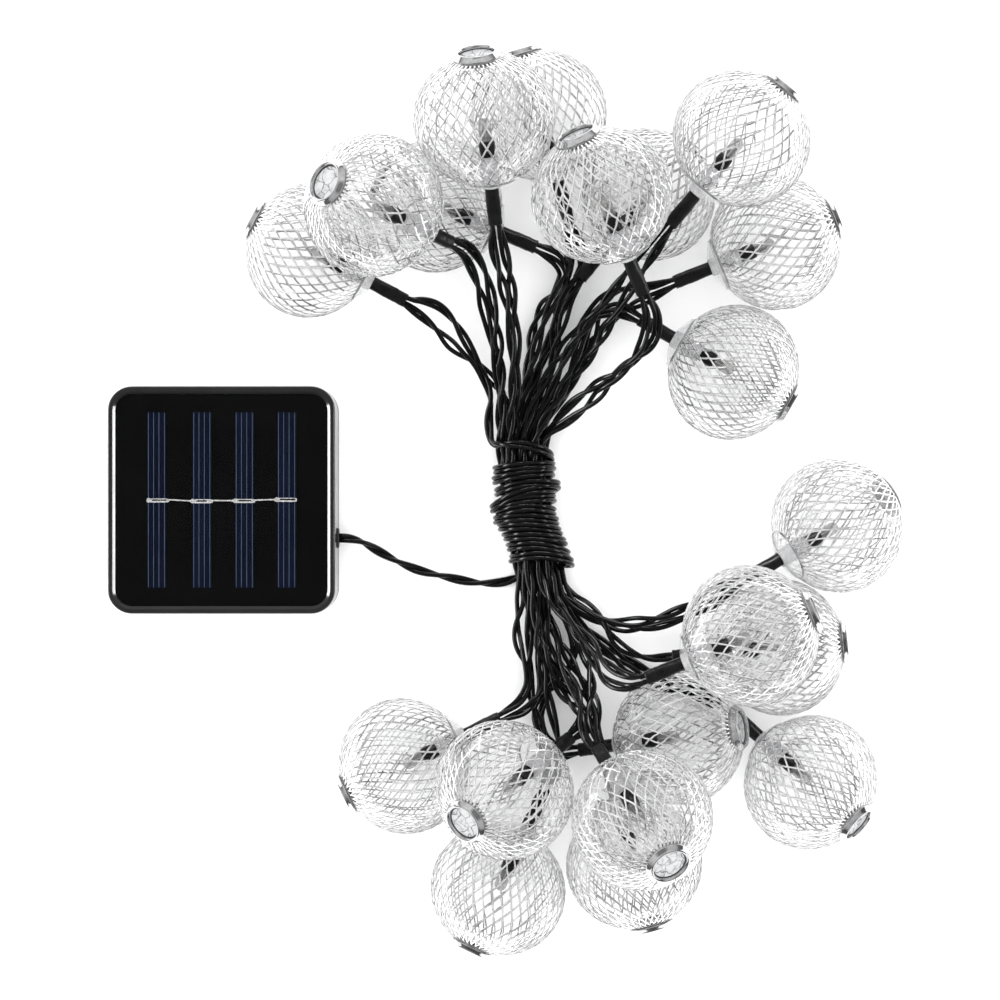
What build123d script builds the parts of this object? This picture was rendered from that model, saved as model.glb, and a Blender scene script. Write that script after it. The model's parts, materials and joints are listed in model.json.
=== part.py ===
from build123d import *

import math
import os

os.makedirs("parts", exist_ok=True)

# Solar string lights: a square panel box, its two-wire lead wound as a tie round
# the bundled string, and wire-mesh globe lanterns on the string.
# Millimetres, +Z up. The string lies on the plane Z = 0, panel box face up.

# ---------------------------------------------------------------- panel box
BOX_X, BOX_Y = -87.15, 0.52  # centre of the panel box
BOX_SIZE = 70.0  # outer width of the square box
BOX_RADIUS = 7.5  # outer corner radius
BOX_HEIGHT = 20.0  # rear face to rim crest
WALL = 2.0  # case wall
COVER_THICK = 3.0  # rear cover plate
SEAM = 0.6  # gasket thickness between cover and case
RIM_WIDTH = 2.4  # raised rim round the panel
PANEL_SIZE = BOX_SIZE - 2 * RIM_WIDTH  # laminate width
PANEL_TOP = 19.2  # front face of the clear layer
BOARD_LOW = 17.2  # underside of the panel's backing board
BOARD_HIGH = 18.6  # cells lie on this level
SHELF = 3.6  # ledge carrying the laminate
SHELF_LOW = 15.7

CELL_WIDTH, CELL_LENGTH, CELL_THICK = 5.8, 54.0, 0.22
CELL_X = (-20.0, -6.05, 7.0, 20.0)  # strip centres across the panel
TAB_LENGTH, TAB_WIDTH, TAB_THICK = 6.6, 1.5, 0.12

STUD_PITCH = 57.0  # screw bosses, square pattern
BOSS_RADIUS = 2.8
SCREW_RADIUS = 1.1
HEAD_RADIUS, HEAD_THICK = 2.1, 1.5
CBORE_RADIUS, CBORE_DEPTH = 2.3, 1.7

SOCKET_RADIUS = 4.5  # blind stake socket in the rear cover
SOCKET_DEPTH = 12.0
SOCKET_WALL = 1.9

BUTTON_X, BUTTON_Y = 12.0, -16.0  # both buttons, mirrored about X = 0
BUTTON_RADIUS = 3.9
BUTTON_CLEAR = 0.08  # running clearance round each button
BUTTON_FACE = 0.5  # button face above the supporting plane
BUTTON_TRAVEL = 1.2
DISH_RADIUS, DISH_DEPTH = 6.2, 0.9

GLAND_Y, GLAND_Z = -11.81, 9.0  # lead outlet in the right-hand wall
GLAND_RADIUS = 2.6

# ---------------------------------------------------------------- lanterns
GLOBE_RADIUS = 21.0  # across the axis
GLOBE_HALF = 19.9  # along the axis
GLOBE_SKIN = 0.45  # lattice wire thickness
RING_CUT = -19.0  # globe ends here, eyelet side
NECK_CUT = 18.4  # globe ends here, neck side
TUBE_RADIUS, TUBE_BORE = 2.7, 2.15
SLEEVE_RADIUS = 2.1
SLEEVE_END = 34.5  # the string leaves here, measured from the globe centre
LED_RADIUS = 1.9

# Globe centre and unit axis towards the neck, one line per lantern.
LANTERNS = (
    ((-59.58, 77.19, 21.04), (0.8792, -0.4660, -0.0997)),
    ((-38.25, 86.18, 66.01), (0.6556, -0.2584, -0.7096)),
    ((-20.86, 91.00, 21.05), (0.9194, -0.3877, -0.0665)),
    ((-6.33, 112.32, 59.15), (0.1040, -0.8866, -0.4506)),
    ((10.37, 118.78, 21.03), (0.2765, -0.9527, -0.1263)),
    ((28.26, 89.72, 59.76), (0.3873, -0.8433, -0.3726)),
    ((43.87, 94.25, 21.03), (-0.6271, -0.7698, -0.1187)),
    ((70.00, 107.49, 49.78), (-0.6337, -0.7582, -0.1534)),
    ((82.70, 79.56, 21.05), (-0.9275, -0.3699, -0.0532)),
    ((70.03, 39.80, 21.05), (-0.8691, 0.4921, -0.0500)),
    ((101.84, -7.34, 21.00), (-0.8505, -0.4810, 0.2127)),
    ((71.64, -39.15, 60.89), (-0.9106, -0.3848, -0.1510)),
    ((84.30, -44.68, 21.04), (-0.9902, -0.0926, -0.1049)),
    ((53.38, -71.83, 21.85), (-0.9106, -0.1599, -0.3810)),
    ((93.63, -86.03, 20.85), (-0.6743, 0.5984, -0.4326)),
    ((39.91, -92.91, 61.92), (-0.3613, 0.5613, -0.7446)),
    ((39.58, -110.68, 24.02), (-0.2681, 0.9628, -0.0345)),
    ((-31.18, -80.97, 21.04), (0.8960, 0.4381, -0.0726)),
    ((-0.16, -85.57, 48.77), (0.5995, 0.4085, -0.6883)),
    ((-2.16, -119.07, 21.03), (0.4253, 0.8962, -0.1261)),
)

# ---------------------------------------------------------------- string
CORD_RADIUS = 1.4  # two 1.4 mm wires, twisted
COIL_INNER, COIL_OUTER = 8.0, 10.8
COIL_LENGTH = 38.22
COIL_CENTRE = (8.84, -5.38, 10.85)
COIL_AXIS = (-0.1380, 0.9904, 0.0000)

# Route points of each stretch of the string, end to end.
ROUTES = {
    "lead_cord": (
        (-51.55, -11.29, 9.00),
        (-46.05, -11.29, 9.00),
        (-39.58, -15.56, 3.40),
        (-29.15, -21.12, 1.50),
        (-18.49, -23.63, 1.50),
        (-8.45, -25.67, 1.50),
        (-0.92, -25.51, 1.50),
        (3.93, -23.74, 1.50),
    ),
    "lead_tail": (
        (-3.10, 12.26, 10.85),
        (-4.34, 21.17, 10.85),
        (-5.75, 30.27, 12.55),
        (-9.67, 41.62, 14.58),
        (-16.54, 50.92, 16.31),
        (-23.88, 56.22, 16.89),
        (-29.87, 59.79, 17.59),
    ),
    "span_cord_01": (
        (-28.50, 62.37, 17.59),
        (-22.19, 59.42, 16.89),
        (-16.35, 53.86, 14.32),
        (-10.17, 44.58, 12.03),
        (-4.75, 31.89, 9.95),
        (0.57, 17.31, 8.13),
        (4.52, -5.98, 8.13),
        (7.09, -29.46, 8.13),
        (9.91, -44.05, 10.99),
        (12.20, -57.01, 14.70),
        (6.86, -64.38, 18.03),
        (0.43, -67.13, 18.54),
    ),
    "span_cord_02": (
        (-16.12, 75.89, 41.48),
        (-11.66, 73.76, 36.52),
        (-7.84, 64.65, 29.80),
        (-4.57, 51.43, 23.39),
        (-1.31, 34.78, 16.85),
        (-0.98, 17.09, 10.85),
        (2.97, -6.19, 10.85),
        (5.53, -29.68, 10.85),
        (2.67, -41.39, 13.91),
        (8.08, -54.12, 16.68),
        (5.27, -61.13, 18.03),
        (-0.85, -64.51, 18.54),
    ),
    "span_cord_03": (
        (-15.05, 78.61, 41.48),
        (-10.33, 77.13, 36.52),
        (-5.40, 69.47, 30.89),
        (-2.59, 54.53, 26.63),
        (-0.76, 36.42, 20.65),
        (0.57, 17.31, 13.57),
        (4.52, -5.98, 13.57),
        (7.09, -29.46, 13.57),
        (7.70, -45.08, 13.14),
        (7.41, -59.93, 12.14),
        (11.65, -71.18, 14.29),
        (13.88, -81.03, 15.79),
        (11.22, -87.46, 16.67),
    ),
    "span_cord_04": (
        (-1.28, 81.84, 43.57),
        (-0.21, 75.68, 40.41),
        (1.90, 65.86, 34.67),
        (3.29, 52.29, 27.95),
        (3.87, 35.32, 20.68),
        (3.68, 17.74, 13.57),
        (7.64, -5.54, 13.57),
        (10.20, -29.03, 13.57),
        (10.40, -46.59, 16.97),
        (13.73, -62.07, 18.22),
        (16.74, -74.70, 16.45),
        (17.15, -82.59, 15.79),
        (13.86, -88.71, 16.67),
    ),
    "span_cord_05": (
        (-4.18, 81.50, 43.57),
        (-3.80, 75.26, 40.41),
        (-0.69, 65.65, 36.77),
        (1.92, 51.90, 30.97),
        (2.61, 35.19, 23.54),
        (2.13, 17.53, 16.29),
        (6.08, -5.76, 16.29),
        (8.65, -29.24, 16.29),
        (10.71, -48.00, 20.56),
        (23.28, -60.91, 17.31),
        (23.75, -67.09, 20.16),
        (19.75, -70.24, 24.98),
    ),
    "span_cord_06": (
        (11.49, 78.95, 18.75),
        (18.06, 76.55, 18.28),
        (20.31, 71.06, 18.86),
        (11.96, 56.89, 22.17),
        (7.34, 38.06, 16.13),
        (2.13, 17.53, 10.85),
        (6.08, -5.76, 10.85),
        (8.65, -29.24, 10.85),
        (13.69, -48.66, 13.43),
        (26.34, -62.98, 14.80),
        (25.78, -70.08, 20.16),
        (21.39, -72.65, 24.98),
    ),
    "span_cord_07": (
        (10.35, 76.26, 18.75),
        (16.65, 73.22, 18.28),
        (18.57, 68.33, 14.87),
        (8.86, 58.49, 3.63),
        (7.05, 38.21, 5.46),
        (2.13, 17.53, 5.41),
        (6.08, -5.76, 5.41),
        (8.65, -29.24, 5.41),
        (12.11, -46.97, 8.95),
        (16.55, -59.06, 15.90),
        (23.59, -64.27, 23.52),
        (28.42, -70.60, 24.40),
        (30.30, -77.35, 24.29),
    ),
    "span_cord_08": (
        (18.52, 85.44, 16.67),
        (20.12, 78.67, 15.78),
        (19.50, 68.86, 9.34),
        (15.75, 54.46, 6.06),
        (9.60, 37.03, 7.19),
        (3.68, 17.74, 8.13),
        (7.64, -5.54, 8.13),
        (10.20, -29.03, 8.13),
        (16.76, -43.08, 12.35),
        (23.25, -54.23, 15.99),
        (28.93, -63.08, 18.85),
        (28.45, -70.72, 20.78),
        (30.32, -77.44, 21.37),
    ),
    "span_cord_09": (
        (21.33, 86.25, 16.67),
        (23.60, 79.68, 15.78),
        (23.09, 69.26, 12.82),
        (16.26, 55.93, 9.13),
        (9.01, 38.74, 10.43),
        (5.24, 17.96, 10.85),
        (9.19, -5.33, 10.85),
        (11.76, -28.81, 10.85),
        (15.36, -47.28, 17.34),
        (23.07, -59.51, 25.62),
        (23.36, -70.56, 30.97),
        (26.19, -74.30, 36.18),
    ),
    "span_cord_10": (
        (23.33, 66.71, 16.93),
        (19.21, 61.10, 16.10),
        (16.04, 48.67, 15.35),
        (12.86, 34.75, 10.12),
        (6.80, 18.18, 8.13),
        (10.75, -5.11, 8.13),
        (13.31, -28.59, 8.13),
        (23.25, -42.82, 7.06),
        (27.03, -53.71, 17.25),
        (26.01, -62.51, 25.43),
        (26.41, -68.60, 30.97),
        (28.64, -72.72, 36.18),
    ),
    "span_cord_11": (
        (21.06, 68.56, 16.93),
        (16.40, 63.39, 16.10),
        (15.25, 55.85, 13.96),
        (15.63, 45.02, 10.64),
        (12.09, 31.72, 5.86),
        (5.24, 17.96, 5.41),
        (9.19, -5.33, 5.41),
        (11.76, -28.81, 5.41),
        (13.82, -51.33, 2.21),
        (10.54, -71.66, 3.37),
        (15.21, -76.70, 6.01),
        (21.65, -75.92, 8.68),
    ),
    "span_cord_12": (
        (46.97, 82.21, 44.48),
        (42.27, 77.13, 43.40),
        (37.00, 69.82, 38.76),
        (29.51, 59.60, 32.38),
        (19.56, 47.65, 24.84),
        (13.68, 32.49, 16.95),
        (6.80, 18.18, 13.57),
        (10.75, -5.11, 13.57),
        (13.31, -28.59, 13.57),
        (24.97, -47.43, 11.06),
        (8.29, -63.04, 10.68),
        (11.02, -77.31, 5.66),
        (15.84, -80.26, 6.01),
        (22.15, -78.80, 8.68),
    ),
    "span_cord_13": (
        (49.21, 80.34, 44.48),
        (45.05, 74.81, 43.40),
        (40.22, 67.74, 37.72),
        (33.71, 57.83, 30.05),
        (26.75, 44.92, 21.02),
        (16.94, 31.60, 14.04),
        (8.35, 18.39, 10.85),
        (12.30, -4.89, 10.85),
        (14.87, -28.38, 10.85),
        (25.85, -42.55, 9.42),
        (40.06, -53.76, 5.53),
        (53.33, -59.12, 2.26),
        (64.40, -62.51, 2.86),
        (69.35, -66.43, 5.89),
    ),
    "span_cord_14": (
        (51.18, 65.42, 19.21),
        (44.81, 62.50, 18.84),
        (36.33, 59.30, 14.14),
        (26.61, 50.22, 8.45),
        (17.60, 34.93, 7.00),
        (8.35, 18.39, 5.41),
        (12.30, -4.89, 5.41),
        (14.87, -28.38, 5.41),
        (27.66, -42.34, 4.07),
        (42.55, -52.39, 2.46),
        (57.18, -57.07, 1.68),
        (66.80, -59.80, 2.86),
        (71.29, -64.25, 5.89),
    ),
    "span_cord_15": (
        (50.10, 68.13, 19.21),
        (43.47, 65.87, 18.84),
        (32.40, 65.66, 13.60),
        (22.30, 53.69, 15.17),
        (11.80, 37.36, 18.76),
        (5.24, 17.96, 16.29),
        (9.19, -5.33, 16.29),
        (11.76, -28.81, 16.29),
        (16.25, -33.83, 25.64),
        (22.24, -43.10, 38.52),
        (24.38, -52.29, 48.84),
        (33.08, -53.48, 54.61),
        (39.59, -51.11, 55.66),
    ),
    "span_cord_16": (
        (39.26, 55.54, 19.32),
        (33.01, 58.68, 18.97),
        (25.27, 56.02, 18.94),
        (19.32, 36.70, 19.98),
        (8.35, 18.39, 16.29),
        (12.30, -4.89, 16.29),
        (14.87, -28.38, 16.29),
        (19.68, -38.30, 23.09),
        (25.37, -47.18, 37.74),
        (28.34, -56.27, 49.72),
        (34.49, -56.82, 54.61),
        (40.73, -53.80, 55.66),
    ),
    "span_cord_17": (
        (40.70, 58.08, 19.32),
        (34.79, 61.83, 18.97),
        (30.53, 60.83, 17.22),
        (26.43, 48.90, 11.12),
        (18.63, 33.94, 10.55),
        (9.91, 18.61, 8.13),
        (13.86, -4.68, 8.13),
        (16.42, -28.16, 8.13),
        (33.00, -33.40, 9.00),
        (47.13, -34.30, 19.03),
        (58.48, -32.49, 26.43),
        (67.37, -28.91, 29.84),
        (73.15, -25.24, 28.35),
    ),
    "span_cord_18": (
        (40.32, 59.96, 46.88),
        (42.72, 53.91, 44.28),
        (40.41, 44.76, 38.02),
        (32.35, 36.52, 29.87),
        (22.60, 26.48, 19.86),
        (9.91, 18.61, 13.57),
        (13.86, -4.68, 13.57),
        (16.42, -28.16, 13.57),
        (30.93, -32.46, 20.55),
        (45.60, -33.28, 23.94),
        (57.40, -29.74, 27.41),
        (65.59, -25.76, 29.84),
        (71.72, -22.70, 28.35),
    ),
    "span_cord_19": (
        (42.98, 61.18, 46.88),
        (46.01, 55.42, 44.28),
        (44.93, 46.94, 37.99),
        (34.63, 39.79, 28.67),
        (21.34, 31.91, 17.68),
        (11.46, 18.83, 10.85),
        (15.41, -4.46, 10.85),
        (17.98, -27.94, 10.85),
        (28.37, -33.65, 16.53),
        (34.02, -44.27, 16.21),
        (43.14, -48.53, 16.68),
        (50.07, -47.88, 17.41),
    ),
}


def box_level(height):
    """Plane parallel to the box's faces, centred on the box."""
    return Plane((BOX_X, BOX_Y, height))


def corner_radii(points):
    """Arc radius at each corner: 0.45 of the shorter run over tan(half the turn)."""
    radii = []
    for before, here, after in zip(points, points[1:], points[2:]):
        run_in = Vector(*here) - Vector(*before)
        run_out = Vector(*after) - Vector(*here)
        turn = math.radians(run_in.get_angle(run_out))
        radii.append(0.45 * min(run_in.length, run_out.length) / math.tan(turn / 2))
    return radii


# ================================================================ panel box
SCREWS = GridLocations(STUD_PITCH, STUD_PITCH, 2, 2)
INNER = BOX_SIZE - 2 * WALL
CASE_LOW = COVER_THICK + SEAM
PCB_LOW, PCB_HIGH = 9.5, 11.1

# Front case: four walls, the ledge that carries the panel, the raised rim and
# four screw bosses hanging from the ledge's corners.
with BuildPart() as front_case:
    with BuildSketch(box_level(CASE_LOW)):
        RectangleRounded(BOX_SIZE, BOX_SIZE, BOX_RADIUS)
        RectangleRounded(INNER, INNER, BOX_RADIUS - WALL, mode=Mode.SUBTRACT)
    extrude(amount=SHELF_LOW - CASE_LOW)
    with BuildSketch(box_level(SHELF_LOW)):
        RectangleRounded(BOX_SIZE, BOX_SIZE, BOX_RADIUS)
        RectangleRounded(PANEL_SIZE - 2 * SHELF, PANEL_SIZE - 2 * SHELF, 2.0, mode=Mode.SUBTRACT)
    extrude(amount=BOARD_LOW - SHELF_LOW)
    with BuildSketch(box_level(BOARD_LOW)):
        RectangleRounded(BOX_SIZE, BOX_SIZE, BOX_RADIUS)
        RectangleRounded(PANEL_SIZE, PANEL_SIZE, BOX_RADIUS - RIM_WIDTH, mode=Mode.SUBTRACT)
    extrude(amount=BOX_HEIGHT - BOARD_LOW)
    crest = front_case.faces().sort_by(Axis.Z)[-1]
    fillet(crest.outer_wire().edges(), 1.3)
    crest = front_case.faces().sort_by(Axis.Z)[-1]
    chamfer(crest.inner_wires()[0].edges(), 0.55)
    with BuildSketch(box_level(CASE_LOW + 0.8)):
        with SCREWS:
            Circle(BOSS_RADIUS)
    extrude(amount=BOARD_LOW - CASE_LOW - 0.8)
    with BuildSketch(box_level(CASE_LOW + 0.8)):
        with SCREWS:
            Circle(SCREW_RADIUS)
    extrude(amount=9.2, mode=Mode.SUBTRACT)
    with BuildSketch(Plane((BOX_X + BOX_SIZE / 2 + 1, BOX_Y + GLAND_Y, GLAND_Z), x_dir=(0, 1, 0), z_dir=(-1, 0, 0))):
        Circle(GLAND_RADIUS)
    extrude(amount=WALL + 2, mode=Mode.SUBTRACT)
front_case.part.label = "front_case"
export_step(front_case.part, "parts/front_case.step")

# Rear cover: plate, locating lip, screw counterbores, dished button holes and
# the blind socket for a ground stake.
with BuildPart() as rear_cover:
    with BuildSketch(box_level(0)):
        RectangleRounded(BOX_SIZE, BOX_SIZE, BOX_RADIUS)
    extrude(amount=COVER_THICK)
    fillet(rear_cover.faces().sort_by(Axis.Z)[0].outer_wire().edges(), 1.0)
    with BuildSketch(box_level(COVER_THICK)):
        RectangleRounded(INNER - 0.2, INNER - 0.2, BOX_RADIUS - WALL - 0.1)
        RectangleRounded(INNER - 3.4, INNER - 3.4, BOX_RADIUS - WALL - 1.7, mode=Mode.SUBTRACT)
        with SCREWS:
            Circle(BOSS_RADIUS + 0.7, mode=Mode.SUBTRACT)
    extrude(amount=2.2)
    with BuildSketch(box_level(COVER_THICK)):
        Circle(SOCKET_RADIUS + SOCKET_WALL)
    extrude(amount=SOCKET_DEPTH + 1.2 - COVER_THICK)
    with BuildSketch(box_level(COVER_THICK)):
        with SCREWS:
            Circle(BOSS_RADIUS)
    extrude(amount=CASE_LOW + 0.8 - COVER_THICK)
    with BuildSketch(box_level(0)):
        Circle(SOCKET_RADIUS)
    extrude(amount=SOCKET_DEPTH, mode=Mode.SUBTRACT)
    with BuildSketch(box_level(0)):
        with SCREWS:
            Circle(CBORE_RADIUS)
    extrude(amount=CBORE_DEPTH, mode=Mode.SUBTRACT)
    with BuildSketch(box_level(0)):
        with SCREWS:
            Circle(SCREW_RADIUS + 0.15)
    extrude(amount=CASE_LOW + 0.8, mode=Mode.SUBTRACT)
    with BuildSketch(box_level(0)):
        with Locations((-BUTTON_X, BUTTON_Y), (BUTTON_X, BUTTON_Y)):
            Circle(DISH_RADIUS)
    extrude(amount=DISH_DEPTH, mode=Mode.SUBTRACT)
    with BuildSketch(box_level(0)):
        with Locations((-BUTTON_X, BUTTON_Y), (BUTTON_X, BUTTON_Y)):
            Circle(BUTTON_RADIUS + BUTTON_CLEAR)
    extrude(amount=COVER_THICK, mode=Mode.SUBTRACT)
rear_cover.part.label = "rear_cover"
export_step(rear_cover.part, "parts/rear_cover.step")

# Seal between the cover plate and the foot of the case walls.
with BuildPart() as gasket:
    with BuildSketch(box_level(COVER_THICK)):
        RectangleRounded(BOX_SIZE - 0.9, BOX_SIZE - 0.9, BOX_RADIUS - 0.45)
        RectangleRounded(INNER + 0.1, INNER + 0.1, BOX_RADIUS - WALL + 0.05, mode=Mode.SUBTRACT)
    extrude(amount=SEAM)
gasket.part.label = "gasket"
export_step(gasket.part, "parts/gasket.step")

# Panel backing board, resting on the ledge.
with BuildPart() as panel_board:
    with BuildSketch(box_level(BOARD_LOW)):
        RectangleRounded(PANEL_SIZE, PANEL_SIZE, BOX_RADIUS - RIM_WIDTH)
    extrude(amount=BOARD_HIGH - BOARD_LOW)
panel_board.part.label = "panel_board"
export_step(panel_board.part, "parts/panel_board.step")

# Four silicon strips, side by side.
with BuildPart() as solar_cells:
    with BuildSketch(box_level(BOARD_HIGH)):
        with Locations(*[(x, 0) for x in CELL_X]):
            Rectangle(CELL_WIDTH, CELL_LENGTH)
    extrude(amount=CELL_THICK)
solar_cells.part.label = "solar_cells"
export_step(solar_cells.part, "parts/solar_cells.step")

# Tinned ribbon tab across the middle of each strip.
TAB_LOW = BOARD_HIGH + CELL_THICK
TABS = ((CELL_X[0] + 0.6, -0.15), (CELL_X[1] + 0.1, -0.4), (CELL_X[2] + 0.1, -0.3), (CELL_X[3] - 0.1, 0.05))
with BuildPart() as cell_tabs:
    with BuildSketch(box_level(TAB_LOW)):
        with Locations(*TABS):
            Rectangle(TAB_LENGTH, TAB_WIDTH)
    extrude(amount=TAB_THICK)
cell_tabs.part.label = "cell_tabs"
export_step(cell_tabs.part, "parts/cell_tabs.step")

# Fine bare wires joining one tab to the next.
with BuildPart() as cell_links:
    with BuildSketch(box_level(TAB_LOW)) as links:
        for (x0, y0), (x1, y1) in zip(TABS, TABS[1:]):
            start = (x0 + TAB_LENGTH / 2, y0)
            end = (x1 - TAB_LENGTH / 2, y1)
            middle = ((start[0] + end[0]) / 2, (start[1] + end[1]) / 2)
            span = math.hypot(end[0] - start[0], end[1] - start[1])
            slant = math.degrees(math.atan2(end[1] - start[1], end[0] - start[0]))
            with Locations(Location((middle[0], middle[1], 0), (0, 0, slant))):
                Rectangle(span - 0.06, 0.5)
    extrude(amount=TAB_THICK)
cell_links.part.label = "cell_links"
export_step(cell_links.part, "parts/cell_links.step")

# Clear resin layer poured over the cells, with the cells' and tabs' own space.
with BuildPart() as panel_resin:
    with BuildSketch(box_level(BOARD_HIGH)):
        RectangleRounded(PANEL_SIZE, PANEL_SIZE, BOX_RADIUS - RIM_WIDTH)
    extrude(amount=PANEL_TOP - BOARD_HIGH)
    add(solar_cells.part, mode=Mode.SUBTRACT)
    add(cell_tabs.part, mode=Mode.SUBTRACT)
    add(cell_links.part, mode=Mode.SUBTRACT)
panel_resin.part.label = "panel_resin"
export_step(panel_resin.part, "parts/panel_resin.step")

# Pan-head screws up through the cover into the bosses, cross recess in each head.
HEAD_LOW = CBORE_DEPTH - HEAD_THICK
with BuildPart() as case_screws:
    with BuildSketch(box_level(HEAD_LOW)):
        with SCREWS:
            Circle(HEAD_RADIUS)
    extrude(amount=HEAD_THICK)
    with BuildSketch(box_level(CBORE_DEPTH)):
        with SCREWS:
            Circle(SCREW_RADIUS)
    extrude(amount=10.5)
    with BuildSketch(box_level(HEAD_LOW)):
        with SCREWS:
            Rectangle(2.4, 0.6)
            Rectangle(0.6, 2.4)
    extrude(amount=0.8, mode=Mode.SUBTRACT)
case_screws.part.label = "case_screws"
export_step(case_screws.part, "parts/case_screws.step")

# Push buttons: dished cap, retaining flange above the plate, stem to the switch.
FLANGE_LOW = COVER_THICK + 0.05
for side, name in ((-1, "power_button"), (1, "mode_button")):
    with BuildPart() as button:
        with BuildSketch(Plane((BOX_X + side * BUTTON_X, BOX_Y + BUTTON_Y, BUTTON_FACE))):
            Circle(BUTTON_RADIUS)
        extrude(amount=FLANGE_LOW - BUTTON_FACE)
        fillet(button.faces().sort_by(Axis.Z)[0].edges(), 0.4)
        with BuildSketch(Plane((BOX_X + side * BUTTON_X, BOX_Y + BUTTON_Y, FLANGE_LOW))):
            Circle(BUTTON_RADIUS + 0.8)
        extrude(amount=0.8)
        with BuildSketch(Plane((BOX_X + side * BUTTON_X, BOX_Y + BUTTON_Y, FLANGE_LOW + 0.8))):
            Circle(1.5)
        extrude(amount=5.0 - FLANGE_LOW - 0.8)
    button.part.label = name
    export_step(button.part, f"parts/{name}.step")

# Tactile switches under the circuit board, each a body with a plunger bore.
for side, stem, body in ((-1, "power_plunger", "power_switch"), (1, "mode_plunger", "mode_switch")):
    with BuildPart() as plunger:
        with BuildSketch(Plane((BOX_X + side * BUTTON_X, BOX_Y + BUTTON_Y, 5.0))):
            Circle(1.7)
        extrude(amount=2.2)
    plunger.part.label = stem
    export_step(plunger.part, f"parts/{stem}.step")
    with BuildPart() as switch:
        with BuildSketch(Plane((BOX_X + side * BUTTON_X, BOX_Y + BUTTON_Y, 6.3))):
            RectangleRounded(6.0, 6.0, 0.4)
        extrude(amount=PCB_LOW - 6.3)
        with BuildSketch(Plane((BOX_X + side * BUTTON_X, BOX_Y + BUTTON_Y, 6.3))):
            Circle(1.76)
        extrude(amount=2.3, mode=Mode.SUBTRACT)
    switch.part.label = body
    export_step(switch.part, f"parts/{body}.step")

# Charge-control board, cut away round the socket.
with BuildPart() as circuit_board:
    with BuildSketch(Plane((BOX_X, BOX_Y - 8.5, PCB_LOW))):
        RectangleRounded(48, 35, 1.0)
    extrude(amount=PCB_HIGH - PCB_LOW)
    with BuildSketch(box_level(PCB_LOW)):
        Circle(SOCKET_RADIUS + SOCKET_WALL + 0.6)
    extrude(amount=PCB_HIGH - PCB_LOW, mode=Mode.SUBTRACT)
circuit_board.part.label = "circuit_board"
export_step(circuit_board.part, "parts/circuit_board.step")

# Driver chip, inductor, capacitor, crystal and resistors on the board.
with BuildPart() as board_components:
    with BuildSketch(Plane((BOX_X, BOX_Y - 17, PCB_HIGH))):
        Rectangle(4.9, 3.9)
    extrude(amount=1.5)
    with BuildSketch(box_level(PCB_HIGH)):
        with Locations((-17, -17), (16, -9)):
            Circle(2.4)
    extrude(amount=3.6)
    with BuildSketch(box_level(PCB_HIGH)):
        with Locations((-9, -20), (-9, -17), (9, -20), (9, -17), (-16, -8)):
            Rectangle(2.0, 1.2)
    extrude(amount=0.6)
board_components.part.label = "board_components"
export_step(board_components.part, "parts/board_components.step")

# Rechargeable cell lying across the box, in its holder.
BATTERY_Y, BATTERY_Z = 21.0, 9.3
with BuildPart() as battery:
    with BuildSketch(Plane((BOX_X - 22.0, BOX_Y + BATTERY_Y, BATTERY_Z), x_dir=(0, 1, 0), z_dir=(1, 0, 0))):
        Circle(5.2)
    extrude(amount=43.2)
    fillet(battery.edges().filter_by(GeomType.CIRCLE), 0.5)
    with BuildSketch(Plane((BOX_X + 21.2, BOX_Y + BATTERY_Y, BATTERY_Z), x_dir=(0, 1, 0), z_dir=(1, 0, 0))):
        Circle(1.9)
    extrude(amount=0.9)
battery.part.label = "battery"
export_step(battery.part, "parts/battery.step")

with BuildPart() as battery_holder:
    with BuildSketch(Plane((BOX_X, BOX_Y + BATTERY_Y, COVER_THICK))):
        Rectangle(50.0, 13.0)
    extrude(amount=8.0)
    with BuildSketch(Plane((BOX_X, BOX_Y + BATTERY_Y, COVER_THICK + 1.0))):
        Rectangle(47.0, 10.6)
    extrude(amount=8.0, mode=Mode.SUBTRACT)
battery_holder.part.label = "battery_holder"
export_step(battery_holder.part, "parts/battery_holder.step")

# End contacts: a flat plate at the plus end, a folded leaf at the minus end.
with BuildPart() as battery_contacts:
    with BuildSketch(Plane((BOX_X + 22.8, BOX_Y + BATTERY_Y, BATTERY_Z), x_dir=(0, 1, 0), z_dir=(1, 0, 0))):
        Rectangle(7.0, 6.0)
    extrude(amount=-0.7)
    with BuildSketch(Plane.XZ.offset(-(BOX_Y + BATTERY_Y - 2.5))):
        with BuildLine():
            Polyline(
                (BOX_X - 23.4, BATTERY_Z - 3.0),
                (BOX_X - 23.4, BATTERY_Z + 3.0),
                (BOX_X - 22.0, BATTERY_Z + 0.3),
                (BOX_X - 22.0, BATTERY_Z - 0.3),
                (BOX_X - 23.1, BATTERY_Z + 1.5),
                (BOX_X - 23.1, BATTERY_Z - 3.0),
                close=True,
            )
        make_face()
    extrude(amount=-5.0)
battery_contacts.part.label = "battery_contacts"
export_step(battery_contacts.part, "parts/battery_contacts.step")

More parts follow.
